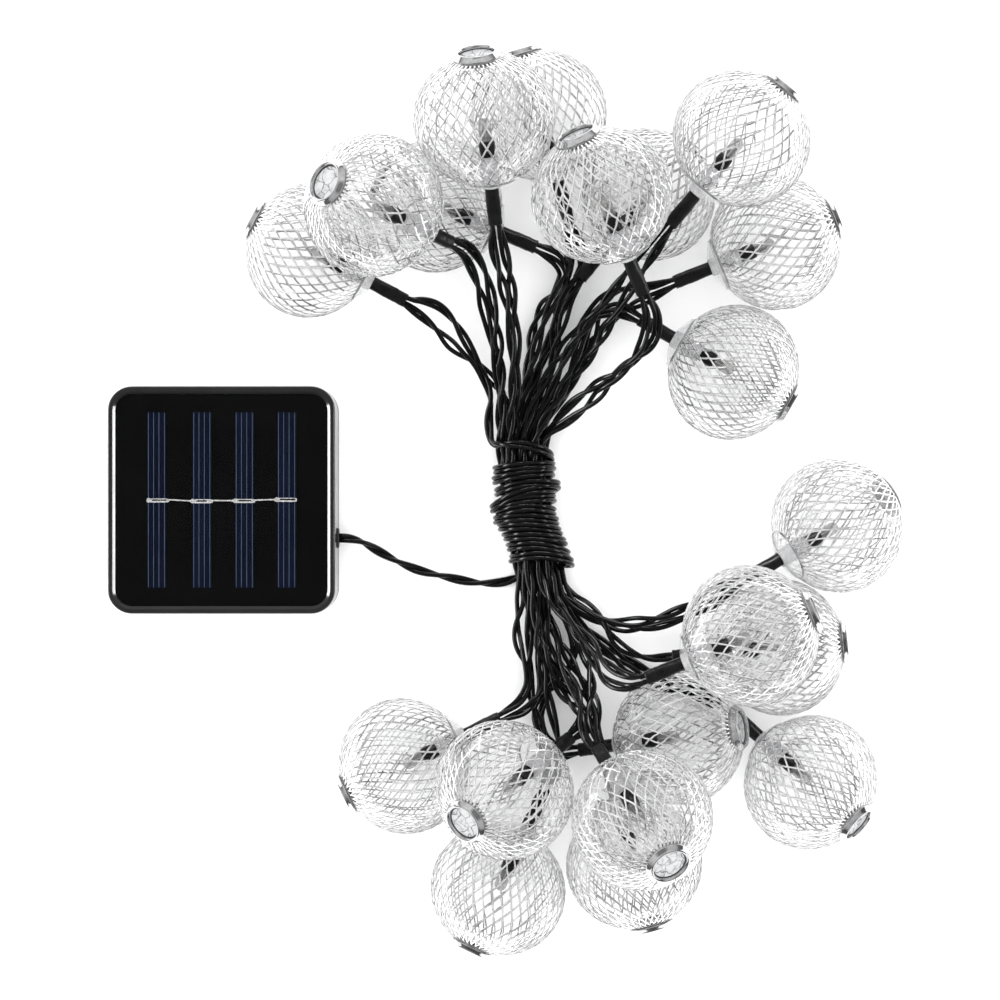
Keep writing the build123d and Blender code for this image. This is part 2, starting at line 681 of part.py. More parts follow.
# Rubber grommet lining the lead outlet, a bead wider than the hole outside it.
GLAND_FACE = BOX_X + BOX_SIZE / 2 + 0.6
with BuildPart() as lead_grommet:
    with BuildSketch(Plane((BOX_X + BOX_SIZE / 2 - WALL, BOX_Y + GLAND_Y, GLAND_Z), x_dir=(0, 1, 0), z_dir=(1, 0, 0))):
        Circle(GLAND_RADIUS)
    extrude(amount=WALL)
    with BuildSketch(Plane((BOX_X + BOX_SIZE / 2, BOX_Y + GLAND_Y, GLAND_Z), x_dir=(0, 1, 0), z_dir=(1, 0, 0))):
        Circle(GLAND_RADIUS + 0.5)
    extrude(amount=0.6)
    fillet(lead_grommet.faces().sort_by(Axis.X)[-1].edges(), 0.35)
    with BuildSketch(Plane((BOX_X + BOX_SIZE / 2 - WALL, BOX_Y + GLAND_Y, GLAND_Z), x_dir=(0, 1, 0), z_dir=(1, 0, 0))):
        with Locations((-0.75, 0), (0.75, 0)):
            Circle(0.7)
    extrude(amount=WALL, mode=Mode.SUBTRACT)
lead_grommet.part.label = "lead_grommet"
export_step(lead_grommet.part, "parts/lead_grommet.step")

# The lead's two wires inside the box, from the grommet up to solder pads.
with BuildPart() as lead_tails:
    for side in (-1, 1):
        with BuildLine() as tail:
            FilletPolyline(
                (BOX_X + BOX_SIZE / 2 - 0.01, BOX_Y + GLAND_Y + side * 0.75, GLAND_Z),
                (BOX_X + BOX_SIZE / 2 - 5.0, BOX_Y + GLAND_Y + side * 0.75, GLAND_Z),
                (BOX_X + BOX_SIZE / 2 - 7.2, BOX_Y + GLAND_Y + side * 1.3, GLAND_Z + 4.4),
                (BOX_X + 22.0, BOX_Y + GLAND_Y + side * 1.7, GLAND_Z + 4.9),
                (BOX_X + 22.0, BOX_Y + GLAND_Y + side * 1.7, PCB_HIGH),
                radius=(1.6, 1.4, 0.9),
            )
        with BuildSketch(Plane(origin=tail.line @ 0, z_dir=tail.line % 0)):
            Circle(0.7)
        sweep(path=tail.line)
lead_tails.part.label = "lead_tails"
export_step(lead_tails.part, "parts/lead_tails.step")

# Two wires from the panel's pads down to the board.
with BuildPart() as panel_wires:
    for x, x_end in ((-3.0, -5.0), (3.0, 5.0)):
        with BuildLine() as drop:
            FilletPolyline(
                (BOX_X + x, BOX_Y - 12.0, BOARD_LOW),
                (BOX_X + x, BOX_Y - 12.0, BOARD_LOW - 2.4),
                (BOX_X + x_end, BOX_Y - 12.5, PCB_HIGH + 1.8),
                (BOX_X + x_end, BOX_Y - 12.5, PCB_HIGH),
                radius=(1.2, 1.0),
            )
        with BuildSketch(Plane(origin=drop.line @ 0, z_dir=drop.line % 0)):
            Circle(0.5)
        sweep(path=drop.line)
panel_wires.part.label = "panel_wires"
export_step(panel_wires.part, "parts/panel_wires.step")

# Two wires from the battery contacts to the board.
with BuildPart() as battery_wires:
    for side, edge in ((-1, (-23.25, 18.5)), (1, (22.45, 17.5))):
        with BuildLine() as hook:
            FilletPolyline(
                (BOX_X + edge[0], BOX_Y + edge[1], 11.7),
                (BOX_X + edge[0], BOX_Y + 13.0, 11.7),
                (BOX_X + side * 20.0, BOX_Y + 7.0, 13.8),
                (BOX_X + side * 20.0, BOX_Y + 7.0, PCB_HIGH),
                radius=(1.5, 0.9),
            )
        with BuildSketch(Plane(origin=hook.line @ 0, z_dir=hook.line % 0)):
            Circle(0.5)
        sweep(path=hook.line)
battery_wires.part.label = "battery_wires"
export_step(battery_wires.part, "parts/battery_wires.step")

# ================================================================ lanterns
# Each unit is turned about its own Z axis, globe centre at the origin and the
# neck towards +Z, then copied to every lantern's place.
LANTERN_PLACES = [
    Location(Plane(origin=centre, x_dir=Vector(*axis).cross(Vector(0, 0, 1)), z_dir=axis))
    for centre, axis in LANTERNS
]


def ellipse_radius(t, across, along):
    """Half-width of an ellipse at distance t along its other half-axis."""
    return across * math.sqrt(1 - (t / along) ** 2)


def outline(across, along, low, high, count=14):
    """Points of the globe's outline, from low to high."""
    a = math.asin(low / along)
    b = math.asin(high / along)
    steps = [a + (b - a) * k / count for k in range(count + 1)]
    return [(across * math.cos(s), along * math.sin(s)) for s in steps]


# Woven globe, as the thin skin that its lattice fills, open at both poles.
inner_across, inner_along = GLOBE_RADIUS - GLOBE_SKIN, GLOBE_HALF - GLOBE_SKIN
low_hole = ellipse_radius(RING_CUT, GLOBE_RADIUS, GLOBE_HALF)
high_hole = ellipse_radius(NECK_CUT, GLOBE_RADIUS, GLOBE_HALF)
inner_low = -ellipse_radius(low_hole, inner_along, inner_across)
inner_high = ellipse_radius(high_hole, inner_along, inner_across)
with BuildPart() as globe_unit:
    with BuildSketch(Plane.XZ):
        with BuildLine():
            Spline(*outline(GLOBE_RADIUS, GLOBE_HALF, RING_CUT, NECK_CUT))
            Line((high_hole, NECK_CUT), (high_hole, inner_high))
            Spline(*outline(inner_across, inner_along, inner_low, inner_high)[::-1])
            Line((low_hole, inner_low), (low_hole, RING_CUT))
        make_face()
    revolve(axis=Axis.Z)
with BuildPart() as mesh_globes:
    with Locations(*LANTERN_PLACES):
        add(globe_unit.part)
mesh_globes.part.label = "mesh_globes"
export_step(mesh_globes.part, "parts/mesh_globes.step")

# Frosted neck cup: flange on the globe's cut edge, funnel down to the tube.
with BuildPart() as cup_unit:
    with BuildSketch(Plane.XZ):
        with BuildLine():
            Polyline(
                (8.3, NECK_CUT),
                (8.3, NECK_CUT + 0.9),
                (7.5, NECK_CUT + 1.1),
                (6.0, NECK_CUT + 3.4),
                (3.8, NECK_CUT + 5.1),
                (TUBE_RADIUS, NECK_CUT + 5.1),
                (TUBE_RADIUS, NECK_CUT + 4.2),
                (5.1, NECK_CUT + 2.9),
                (6.6, NECK_CUT + 0.6),
                (6.6, NECK_CUT - 1.0),
                (7.4, NECK_CUT - 1.0),
                (7.4, NECK_CUT),
                close=True,
            )
        make_face()
    revolve(axis=Axis.Z)
with BuildPart() as neck_cups:
    with Locations(*LANTERN_PLACES):
        add(cup_unit.part)
neck_cups.part.label = "neck_cups"
export_step(neck_cups.part, "parts/neck_cups.step")

# Ribbed clear tube through the cup, gripping the sleeve.
with BuildPart() as tube_unit:
    with BuildSketch(Plane.XY.offset(11.5)):
        Circle(TUBE_RADIUS)
        Circle(TUBE_BORE, mode=Mode.SUBTRACT)
    extrude(amount=12.0)
    with BuildSketch(Plane.XY.offset(12.6)):
        with PolarLocations(TUBE_RADIUS, 10):
            Circle(0.25)
        Circle(TUBE_BORE + 0.3, mode=Mode.SUBTRACT)
    extrude(amount=4.6)
with BuildPart() as neck_tubes:
    with Locations(*LANTERN_PLACES):
        add(tube_unit.part)
neck_tubes.part.label = "neck_tubes"
export_step(neck_tubes.part, "parts/neck_tubes.step")

# Bright eyelet riveted into the far opening, flanges inside and outside.
with BuildPart() as eyelet_unit:
    with BuildSketch(Plane.XZ):
        with BuildLine():
            Polyline(
                (5.0, RING_CUT + 1.7),
                (7.0, RING_CUT + 1.7),
                (7.0, RING_CUT + 1.15),
                (6.0, RING_CUT + 1.0),
                (6.0, RING_CUT - 0.05),
                (6.8, RING_CUT - 0.05),
                (6.5, RING_CUT - 0.5),
                (6.0, RING_CUT - 1.5),
                (5.3, RING_CUT - 1.5),
                (5.0, RING_CUT - 1.1),
                close=True,
            )
        make_face()
    revolve(axis=Axis.Z)
with BuildPart() as end_eyelets:
    with Locations(*LANTERN_PLACES):
        add(eyelet_unit.part)
end_eyelets.part.label = "end_eyelets"
export_step(end_eyelets.part, "parts/end_eyelets.step")

# Clear crackled disc held in the eyelet.
with BuildPart() as window_unit:
    with BuildSketch(Plane.XY.offset(RING_CUT - 0.5)):
        Circle(5.0)
    extrude(amount=0.8)
with BuildPart() as end_windows:
    with Locations(*LANTERN_PLACES):
        add(window_unit.part)
end_windows.part.label = "end_windows"
export_step(end_windows.part, "parts/end_windows.step")

# Lamp: domed clear body with a base flange.
with BuildPart() as led_unit:
    with BuildSketch(Plane.XY.offset(LED_RADIUS)):
        Circle(LED_RADIUS)
    extrude(amount=8.0 - LED_RADIUS)
    with BuildSketch(Plane.XY.offset(8.0)):
        Circle(LED_RADIUS + 0.25)
    extrude(amount=0.9)
    with Locations((0, 0, LED_RADIUS)):
        Sphere(LED_RADIUS)
with BuildPart() as leds:
    with Locations(*LANTERN_PLACES):
        add(led_unit.part)
leds.part.label = "leds"
export_step(leds.part, "parts/leds.step")

# The lamp's two legs, inside the sleeve.
with BuildPart() as leg_unit:
    with BuildSketch(Plane.XY.offset(8.9)):
        with Locations((-0.7, 0), (0.7, 0)):
            Rectangle(0.5, 0.5)
    extrude(amount=15.0)
with BuildPart() as led_legs:
    with Locations(*LANTERN_PLACES):
        add(leg_unit.part)
led_legs.part.label = "led_legs"
export_step(led_legs.part, "parts/led_legs.step")

# Shrink sleeve from the lamp to where the string's wires leave it.
with BuildPart() as sleeve_unit:
    with BuildSketch(Plane.XZ):
        with BuildLine():
            Polyline(
                (LED_RADIUS, 6.0),
                (LED_RADIUS + 0.3, 6.0),
                (LED_RADIUS + 0.5, 8.0),
                (LED_RADIUS + 0.5, 9.3),
                (SLEEVE_RADIUS, 10.8),
                (SLEEVE_RADIUS, SLEEVE_END - 0.6),
                (SLEEVE_RADIUS - 0.2, SLEEVE_END),
                (0, SLEEVE_END),
                (0, SLEEVE_END - 2.0),
                (1.65, SLEEVE_END - 2.0),
                (1.65, 10.0),
                (1.85, 8.9),
                (LED_RADIUS + 0.25, 8.9),
                (LED_RADIUS + 0.25, 8.0),
                (LED_RADIUS, 8.0),
                close=True,
            )
        make_face()
    revolve(axis=Axis.Z)
with BuildPart() as shrink_sleeves:
    with Locations(*LANTERN_PLACES):
        add(sleeve_unit.part)
shrink_sleeves.part.label = "shrink_sleeves"
export_step(shrink_sleeves.part, "parts/shrink_sleeves.step")

# ================================================================ string
# Every stretch is its own tube: straight runs joined by tangent arcs.
for name, points in ROUTES.items():
    radii = corner_radii(points)
    with BuildPart() as stretch:
        with BuildLine() as route:
            FilletPolyline(*points, radius=radii)
        with BuildSketch(Plane(origin=route.line @ 0, z_dir=route.line % 0)):
            Circle(CORD_RADIUS)
        sweep(path=route.line)
    expected = math.pi * CORD_RADIUS**2 * route.wire().length
    print(
        name,
        "radii",
        " ".join(f"{r:.1f}" for r in radii),
        "length",
        round(route.wire().length, 1),
        "volume/expected",
        round(stretch.part.volume / expected, 4),
    )
    stretch.part.label = name
    export_step(stretch.part, f"parts/{name}.step")

# The lead's close turns round the bundle, as one hollow drum of their outer shape.
with BuildPart() as wrap_coil:
    with BuildSketch(Plane(origin=COIL_CENTRE, z_dir=COIL_AXIS)):
        Circle(COIL_OUTER)
        Circle(COIL_INNER, mode=Mode.SUBTRACT)
    extrude(amount=COIL_LENGTH / 2, both=True)
    fillet(wrap_coil.edges().filter_by(GeomType.CIRCLE).group_by(SortBy.RADIUS)[-1], 1.0)
wrap_coil.part.label = "wrap_coil"
export_step(wrap_coil.part, "parts/wrap_coil.step")
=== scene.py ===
import json
import math

import bpy
import numpy as np
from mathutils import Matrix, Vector

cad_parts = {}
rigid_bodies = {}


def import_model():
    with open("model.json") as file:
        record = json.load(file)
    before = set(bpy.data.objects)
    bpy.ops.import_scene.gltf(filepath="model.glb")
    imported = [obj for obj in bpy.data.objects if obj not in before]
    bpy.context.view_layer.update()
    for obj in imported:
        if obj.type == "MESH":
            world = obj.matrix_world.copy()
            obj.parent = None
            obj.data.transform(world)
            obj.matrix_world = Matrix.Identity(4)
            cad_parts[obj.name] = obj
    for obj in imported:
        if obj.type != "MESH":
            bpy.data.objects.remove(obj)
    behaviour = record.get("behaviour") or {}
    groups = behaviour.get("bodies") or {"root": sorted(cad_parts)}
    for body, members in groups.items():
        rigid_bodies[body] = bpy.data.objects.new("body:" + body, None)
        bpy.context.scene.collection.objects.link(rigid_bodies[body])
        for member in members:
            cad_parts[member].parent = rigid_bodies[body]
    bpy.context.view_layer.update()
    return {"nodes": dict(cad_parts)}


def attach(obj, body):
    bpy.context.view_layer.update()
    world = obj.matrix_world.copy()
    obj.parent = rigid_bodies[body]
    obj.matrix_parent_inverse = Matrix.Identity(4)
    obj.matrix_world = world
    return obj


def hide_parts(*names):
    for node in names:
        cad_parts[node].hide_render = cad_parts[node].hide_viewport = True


# Solar string lights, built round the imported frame.  Metres, same frame as the CAD.
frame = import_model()
RNG = np.random.default_rng(41)
ROOT = "light_string"
MM = 0.001

# ------------------------------------------------------------------ camera
CAM = (-0.00155, 0.00052, 0.873)
cam_data = bpy.data.cameras.new("camera")
cam_data.sensor_width = 36.0
cam_data.lens = 36.0 * 0.853 / 0.307
cam_data.clip_start = 0.05
cam_data.clip_end = 20.0
camera = bpy.data.objects.new("camera", cam_data)
camera.location = CAM
camera.rotation_euler = (0.0, 0.0, 0.0)
bpy.context.scene.collection.objects.link(camera)
bpy.context.scene.camera = camera

# ------------------------------------------------------------------ routes
# Globe centre and unit axis towards the neck, one line per lantern.
LANTERNS = (
    ((-0.05958, 0.07719, 0.02104), (0.8792, -0.4660, -0.0997)),
    ((-0.03825, 0.08618, 0.06601), (0.6556, -0.2584, -0.7096)),
    ((-0.02086, 0.09100, 0.02105), (0.9194, -0.3877, -0.0665)),
    ((-0.00633, 0.11232, 0.05915), (0.1040, -0.8866, -0.4506)),
    ((0.01037, 0.11878, 0.02103), (0.2765, -0.9527, -0.1263)),
    ((0.02826, 0.08972, 0.05976), (0.3873, -0.8433, -0.3726)),
    ((0.04387, 0.09425, 0.02103), (-0.6271, -0.7698, -0.1187)),
    ((0.07000, 0.10749, 0.04978), (-0.6337, -0.7582, -0.1534)),
    ((0.08270, 0.07956, 0.02105), (-0.9275, -0.3699, -0.0532)),
    ((0.07003, 0.03980, 0.02105), (-0.8691, 0.4921, -0.0500)),
    ((0.10184, -0.00734, 0.02100), (-0.8505, -0.4810, 0.2127)),
    ((0.07164, -0.03915, 0.06089), (-0.9106, -0.3848, -0.1510)),
    ((0.08430, -0.04468, 0.02104), (-0.9902, -0.0926, -0.1049)),
    ((0.05338, -0.07183, 0.02185), (-0.9106, -0.1599, -0.3810)),
    ((0.09363, -0.08603, 0.02085), (-0.6743, 0.5984, -0.4326)),
    ((0.03991, -0.09291, 0.06192), (-0.3613, 0.5613, -0.7446)),
    ((0.03958, -0.11068, 0.02402), (-0.2681, 0.9628, -0.0345)),
    ((-0.03118, -0.08097, 0.02104), (0.8960, 0.4381, -0.0726)),
    ((-0.00016, -0.08557, 0.04877), (0.5995, 0.4085, -0.6883)),
    ((-0.00216, -0.11907, 0.02103), (0.4253, 0.8962, -0.1261)),
)

SPANS = {
    "span_cord_01": (
        (-0.03179, 0.06332, 0.01793),
        (-0.02878, 0.06200, 0.01760),
        (-0.02532, 0.06206, 0.01730),
        (-0.02022, 0.06045, 0.01660),
        (-0.01602, 0.05630, 0.01560),
        (-0.01242, 0.05034, 0.01440),
        (-0.00820, 0.04256, 0.01290),
        (-0.00216, 0.03566, 0.01160),
        (0.00088, 0.02963, 0.01060),
        (-0.00043, 0.01731, 0.00813),
        (0.00302, -0.00598, 0.00813),
        (0.00709, -0.02946, 0.00813),
        (0.00991, -0.04405, 0.01099),
        (0.01220, -0.05701, 0.01470),
        (0.00686, -0.06438, 0.01803),
        (0.00017, -0.06675, 0.01854),
        (-0.00289, -0.06798, 0.01877),
    ),
    "span_cord_02": (
        (-0.01807, 0.07741, 0.04387),
        (-0.01600, 0.07634, 0.04153),
        (-0.01166, 0.07376, 0.03652),
        (-0.00784, 0.06465, 0.02980),
        (-0.00457, 0.05143, 0.02339),
        (-0.00131, 0.03478, 0.01685),
        (-0.00198, 0.01709, 0.01085),
        (0.00147, -0.00619, 0.01085),
        (0.00553, -0.02968, 0.01085),
        (0.00267, -0.04139, 0.01391),
        (0.00808, -0.05412, 0.01668),
        (0.00527, -0.06113, 0.01803),
        (-0.00071, -0.06496, 0.01854),
        (-0.00356, -0.06662, 0.01877),
    ),
    "span_cord_03": (
        (-0.01752, 0.07883, 0.04387),
        (-0.01527, 0.07820, 0.04153),
        (-0.01033, 0.07713, 0.03652),
        (-0.00540, 0.06947, 0.03089),
        (-0.00259, 0.05453, 0.02663),
        (-0.00076, 0.03642, 0.02065),
        (-0.00043, 0.01731, 0.01357),
        (0.00302, -0.00598, 0.01357),
        (0.00709, -0.02946, 0.01357),
        (0.00770, -0.04508, 0.01314),
        (0.00741, -0.05993, 0.01214),
        (0.01165, -0.07118, 0.01429),
        (0.01388, -0.08103, 0.01579),
        (0.01161, -0.08772, 0.01668),
        (0.01042, -0.09078, 0.01710),
    ),
    "span_cord_04": (
        (-0.00233, 0.08475, 0.04509),
        (-0.00175, 0.08185, 0.04360),
        (-0.00021, 0.07568, 0.04041),
        (0.00190, 0.06586, 0.03467),
        (0.00329, 0.05229, 0.02795),
        (0.00387, 0.03532, 0.02068),
        (0.00268, 0.01774, 0.01357),
        (0.00614, -0.00554, 0.01357),
        (0.01020, -0.02903, 0.01357),
        (0.01040, -0.04659, 0.01697),
        (0.01373, -0.06207, 0.01822),
        (0.01674, -0.07470, 0.01645),
        (0.01715, -0.08259, 0.01579),
        (0.01342, -0.08858, 0.01668),
        (0.01180, -0.09143, 0.01710),
    ),
    "span_cord_05": (
        (-0.00384, 0.08457, 0.04509),
        (-0.00374, 0.08161, 0.04360),
        (-0.00380, 0.07526, 0.04041),
        (-0.00069, 0.06565, 0.03677),
        (0.00192, 0.05190, 0.03097),
        (0.00261, 0.03519, 0.02354),
        (0.00113, 0.01753, 0.01629),
        (0.00458, -0.00576, 0.01629),
        (0.00865, -0.02924, 0.01629),
        (0.01071, -0.04800, 0.02056),
        (0.02328, -0.06091, 0.01731),
        (0.02375, -0.06709, 0.02016),
        (0.01996, -0.07065, 0.02502),
        (0.01812, -0.07220, 0.02730),
    ),
    "span_cord_06": (
        (0.00812, 0.07960, 0.01898),
        (0.01125, 0.07855, 0.01876),
        (0.01806, 0.07655, 0.01828),
        (0.02031, 0.07106, 0.01886),
        (0.01196, 0.05689, 0.02217),
        (0.00734, 0.03806, 0.01613),
        (0.00113, 0.01753, 0.01085),
        (0.00458, -0.00576, 0.01085),
        (0.00865, -0.02924, 0.01085),
        (0.01369, -0.04866, 0.01343),
        (0.02634, -0.06298, 0.01480),
        (0.02578, -0.07008, 0.02016),
        (0.02109, -0.07230, 0.02502),
        (0.01897, -0.07345, 0.02730),
    ),
    "span_cord_07": (
        (0.00753, 0.07820, 0.01898),
        (0.01047, 0.07670, 0.01876),
        (0.01665, 0.07322, 0.01828),
        (0.01857, 0.06833, 0.01487),
        (0.00886, 0.05849, 0.00363),
        (0.00705, 0.03821, 0.00546),
        (0.00113, 0.01753, 0.00541),
        (0.00458, -0.00576, 0.00541),
        (0.00865, -0.02924, 0.00541),
        (0.01211, -0.04697, 0.00895),
        (0.01655, -0.05906, 0.01590),
        (0.02359, -0.06427, 0.02352),
        (0.02842, -0.07060, 0.02440),
        (0.03032, -0.07743, 0.02383),
        (0.03121, -0.08062, 0.02370),
    ),
    "span_cord_08": (
        (0.01827, 0.08884, 0.01709),
        (0.01895, 0.08563, 0.01667),
        (0.02012, 0.07867, 0.01578),
        (0.01950, 0.06886, 0.00934),
        (0.01575, 0.05446, 0.00606),
        (0.00960, 0.03703, 0.00719),
        (0.00268, 0.01774, 0.00813),
        (0.00614, -0.00554, 0.00813),
        (0.01020, -0.02903, 0.00813),
        (0.01676, -0.04308, 0.01235),
        (0.02325, -0.05423, 0.01599),
        (0.02893, -0.06308, 0.01885),
        (0.02845, -0.07072, 0.02078),
        (0.03034, -0.07750, 0.02183),
        (0.03122, -0.08067, 0.02218),
    ),
    "span_cord_09": (
        (0.01973, 0.08927, 0.01709),
        (0.02087, 0.08619, 0.01667),
        (0.02360, 0.07968, 0.01578),
        (0.02309, 0.06926, 0.01282),
        (0.01626, 0.05593, 0.00913),
        (0.00901, 0.03874, 0.01043),
        (0.00424, 0.01796, 0.01085),
        (0.00769, -0.00533, 0.01085),
        (0.01176, -0.02881, 0.01085),
        (0.01536, -0.04728, 0.01734),
        (0.02307, -0.05951, 0.02562),
        (0.02336, -0.07056, 0.03097),
        (0.02660, -0.07409, 0.03623),
        (0.02800, -0.07581, 0.03869),
    ),
    "span_cord_10": (
        (0.02489, 0.06975, 0.01733),
        (0.02301, 0.06706, 0.01693),
        (0.01921, 0.06110, 0.01610),
        (0.01604, 0.04867, 0.01535),
        (0.01286, 0.03475, 0.01012),
        (0.00580, 0.01818, 0.00813),
        (0.00925, -0.00511, 0.00813),
        (0.01331, -0.02859, 0.00813),
        (0.02325, -0.04282, 0.00706),
        (0.02703, -0.05371, 0.01725),
        (0.02601, -0.06251, 0.02543),
        (0.02641, -0.06860, 0.03097),
        (0.02829, -0.07300, 0.03623),
        (0.02928, -0.07499, 0.03869),
    ),
    "span_cord_11": (
        (0.02371, 0.07071, 0.01733),
        (0.02146, 0.06832, 0.01693),
        (0.01640, 0.06339, 0.01610),
        (0.01525, 0.05585, 0.01396),
        (0.01563, 0.04502, 0.01064),
        (0.01209, 0.03172, 0.00586),
        (0.00424, 0.01796, 0.00541),
        (0.00769, -0.00533, 0.00541),
        (0.01176, -0.02881, 0.00541),
        (0.01382, -0.05133, 0.00221),
        (0.01054, -0.07166, 0.00337),
        (0.01521, -0.07670, 0.00601),
        (0.02179, -0.07636, 0.00870),
        (0.02484, -0.07607, 0.00996),
    ),
    "span_cord_12": (
        (0.04965, 0.08432, 0.04499),
        (0.04737, 0.08197, 0.04449),
        (0.04227, 0.07713, 0.04340),
        (0.03700, 0.06982, 0.03876),
        (0.02951, 0.05960, 0.03238),
        (0.01956, 0.04765, 0.02484),
        (0.01368, 0.03249, 0.01695),
        (0.00580, 0.01818, 0.01357),
        (0.00925, -0.00511, 0.01357),
        (0.01331, -0.02859, 0.01357),
        (0.02497, -0.04743, 0.01106),
        (0.00829, -0.06304, 0.01068),
        (0.01102, -0.07731, 0.00566),
        (0.01584, -0.08026, 0.00601),
        (0.02214, -0.07833, 0.00871),
        (0.02510, -0.07757, 0.00996),
    ),
    "span_cord_13": (
        (0.05081, 0.08335, 0.04499),
        (0.04890, 0.08069, 0.04449),
        (0.04505, 0.07481, 0.04340),
        (0.04022, 0.06774, 0.03772),
        (0.03371, 0.05783, 0.03005),
        (0.02675, 0.04492, 0.02102),
        (0.01694, 0.03160, 0.01404),
        (0.00735, 0.01839, 0.01085),
        (0.01080, -0.00489, 0.01085),
        (0.01487, -0.02838, 0.01085),
        (0.02585, -0.04255, 0.00942),
        (0.04006, -0.05376, 0.00553),
        (0.05333, -0.05912, 0.00226),
        (0.06440, -0.06251, 0.00286),
        (0.06970, -0.06613, 0.00593),
        (0.07209, -0.06793, 0.00735),
    ),
    "span_cord_14": (
        (0.05404, 0.06731, 0.01939),
        (0.05107, 0.06587, 0.01921),
        (0.04481, 0.06250, 0.01884),
        (0.03633, 0.05930, 0.01414),
        (0.02661, 0.05022, 0.00845),
        (0.01760, 0.03493, 0.00700),
        (0.00735, 0.01839, 0.00541),
        (0.01080, -0.00489, 0.00541),
        (0.01487, -0.02838, 0.00541),
        (0.02766, -0.04234, 0.00407),
        (0.04255, -0.05239, 0.00246),
        (0.05718, -0.05707, 0.00168),
        (0.06680, -0.05980, 0.00286),
        (0.07103, -0.06464, 0.00592),
        (0.07310, -0.06679, 0.00735),
    ),
    "span_cord_15": (
        (0.05348, 0.06872, 0.01939),
        (0.05033, 0.06773, 0.01921),
        (0.04347, 0.06587, 0.01884),
        (0.03240, 0.06566, 0.01360),
        (0.02230, 0.05369, 0.01517),
        (0.01180, 0.03736, 0.01876),
        (0.00424, 0.01796, 0.01629),
        (0.00769, -0.00533, 0.01629),
        (0.01176, -0.02881, 0.01629),
        (0.01782, -0.03435, 0.02560),
        (0.02491, -0.04123, 0.03700),
        (0.03036, -0.04880, 0.04800),
        (0.03588, -0.05160, 0.05420),
        (0.03984, -0.05150, 0.05568),
        (0.04293, -0.05046, 0.05618),
    ),
    "span_cord_16": (
        (0.04254, 0.05449, 0.01949),
        (0.03955, 0.05591, 0.01933),
        (0.03301, 0.05868, 0.01897),
        (0.02527, 0.05602, 0.01894),
        (0.01932, 0.03670, 0.01998),
        (0.00735, 0.01839, 0.01629),
        (0.01080, -0.00489, 0.01629),
        (0.01487, -0.02838, 0.01629),
        (0.02027, -0.03804, 0.02300),
        (0.02612, -0.04657, 0.03600),
        (0.02978, -0.05373, 0.04800),
        (0.03588, -0.05505, 0.05420),
        (0.04061, -0.05335, 0.05568),
        (0.04353, -0.05186, 0.05618),
    ),
    "span_cord_17": (
        (0.04329, 0.05581, 0.01949),
        (0.04054, 0.05765, 0.01932),
        (0.03572, 0.06093, 0.01840),
        (0.02831, 0.05814, 0.01520),
        (0.02643, 0.04890, 0.01112),
        (0.01863, 0.03394, 0.01055),
        (0.00891, 0.01861, 0.00813),
        (0.01236, -0.00468, 0.00813),
        (0.01642, -0.02816, 0.00813),
        (0.02217, -0.03354, 0.00820),
        (0.03242, -0.03921, 0.01050),
        (0.04508, -0.03919, 0.01750),
        (0.05690, -0.03467, 0.02500),
        (0.06737, -0.02891, 0.02984),
        (0.07299, -0.02481, 0.02834),
        (0.07568, -0.02301, 0.02764),
    ),
    "span_cord_18": (
        (0.03965, 0.06309, 0.04813),
        (0.04071, 0.06021, 0.04691),
        (0.04272, 0.05391, 0.04428),
        (0.04041, 0.04476, 0.03802),
        (0.03235, 0.03652, 0.02987),
        (0.02260, 0.02648, 0.01986),
        (0.00891, 0.01861, 0.01357),
        (0.01236, -0.00468, 0.01357),
        (0.01642, -0.02816, 0.01357),
        (0.02200, -0.03239, 0.01450),
        (0.03091, -0.03705, 0.01840),
        (0.04388, -0.03684, 0.02300),
        (0.05614, -0.03160, 0.02740),
        (0.06559, -0.02576, 0.02984),
        (0.07200, -0.02306, 0.02834),
        (0.07493, -0.02169, 0.02764),
    ),
    "span_cord_19": (
        (0.04103, 0.06373, 0.04813),
        (0.04253, 0.06104, 0.04691),
        (0.04601, 0.05542, 0.04428),
        (0.04493, 0.04694, 0.03799),
        (0.03463, 0.03979, 0.02867),
        (0.02134, 0.03191, 0.01768),
        (0.01046, 0.01883, 0.01085),
        (0.01391, -0.00446, 0.01085),
        (0.01798, -0.02794, 0.01085),
        (0.02837, -0.03365, 0.01653),
        (0.03402, -0.04427, 0.01621),
        (0.04314, -0.04853, 0.01668),
        (0.05014, -0.04787, 0.01742),
        (0.05341, -0.04757, 0.01777),
    ),
}

LEAD = (
    (-0.05155, -0.01129, 0.00900),
    (-0.04605, -0.01129, 0.00900),
    (-0.03958, -0.01556, 0.00340),
    (-0.02915, -0.02112, 0.00150),
    (-0.01849, -0.02363, 0.00150),
    (-0.00845, -0.02567, 0.00150),
    (-0.00092, -0.02551, 0.00150),
    (0.00393, -0.02374, 0.00150),
)
TAIL = (
    (-0.00473, 0.01959, 0.01220),
    (-0.00518, 0.02654, 0.01260),
    (-0.00397, 0.03256, 0.01340),
    (-0.00819, 0.04216, 0.01500),
    (-0.01511, 0.04663, 0.01600),
    (-0.02232, 0.05440, 0.01700),
    (-0.02972, 0.06023, 0.01760),
    (-0.03251, 0.06198, 0.01793),
)

# ------------------------------------------------------------------ helpers
def unit(v):
    v = np.asarray(v, float)
    return v / np.maximum(np.linalg.norm(v, axis=-1, keepdims=True), 1e-12)


def link(obj):
    bpy.context.scene.collection.objects.link(obj)
    return obj


def mesh_object(name, verts, faces, smooth=True):
    mesh = bpy.data.meshes.new(name)
    mesh.from_pydata([tuple(v) for v in verts], [], faces)
    mesh.validate()
    mesh.update()
    if smooth:
        mesh.polygons.foreach_set("use_smooth", [True] * len(mesh.polygons))
    return link(bpy.data.objects.new(name, mesh))


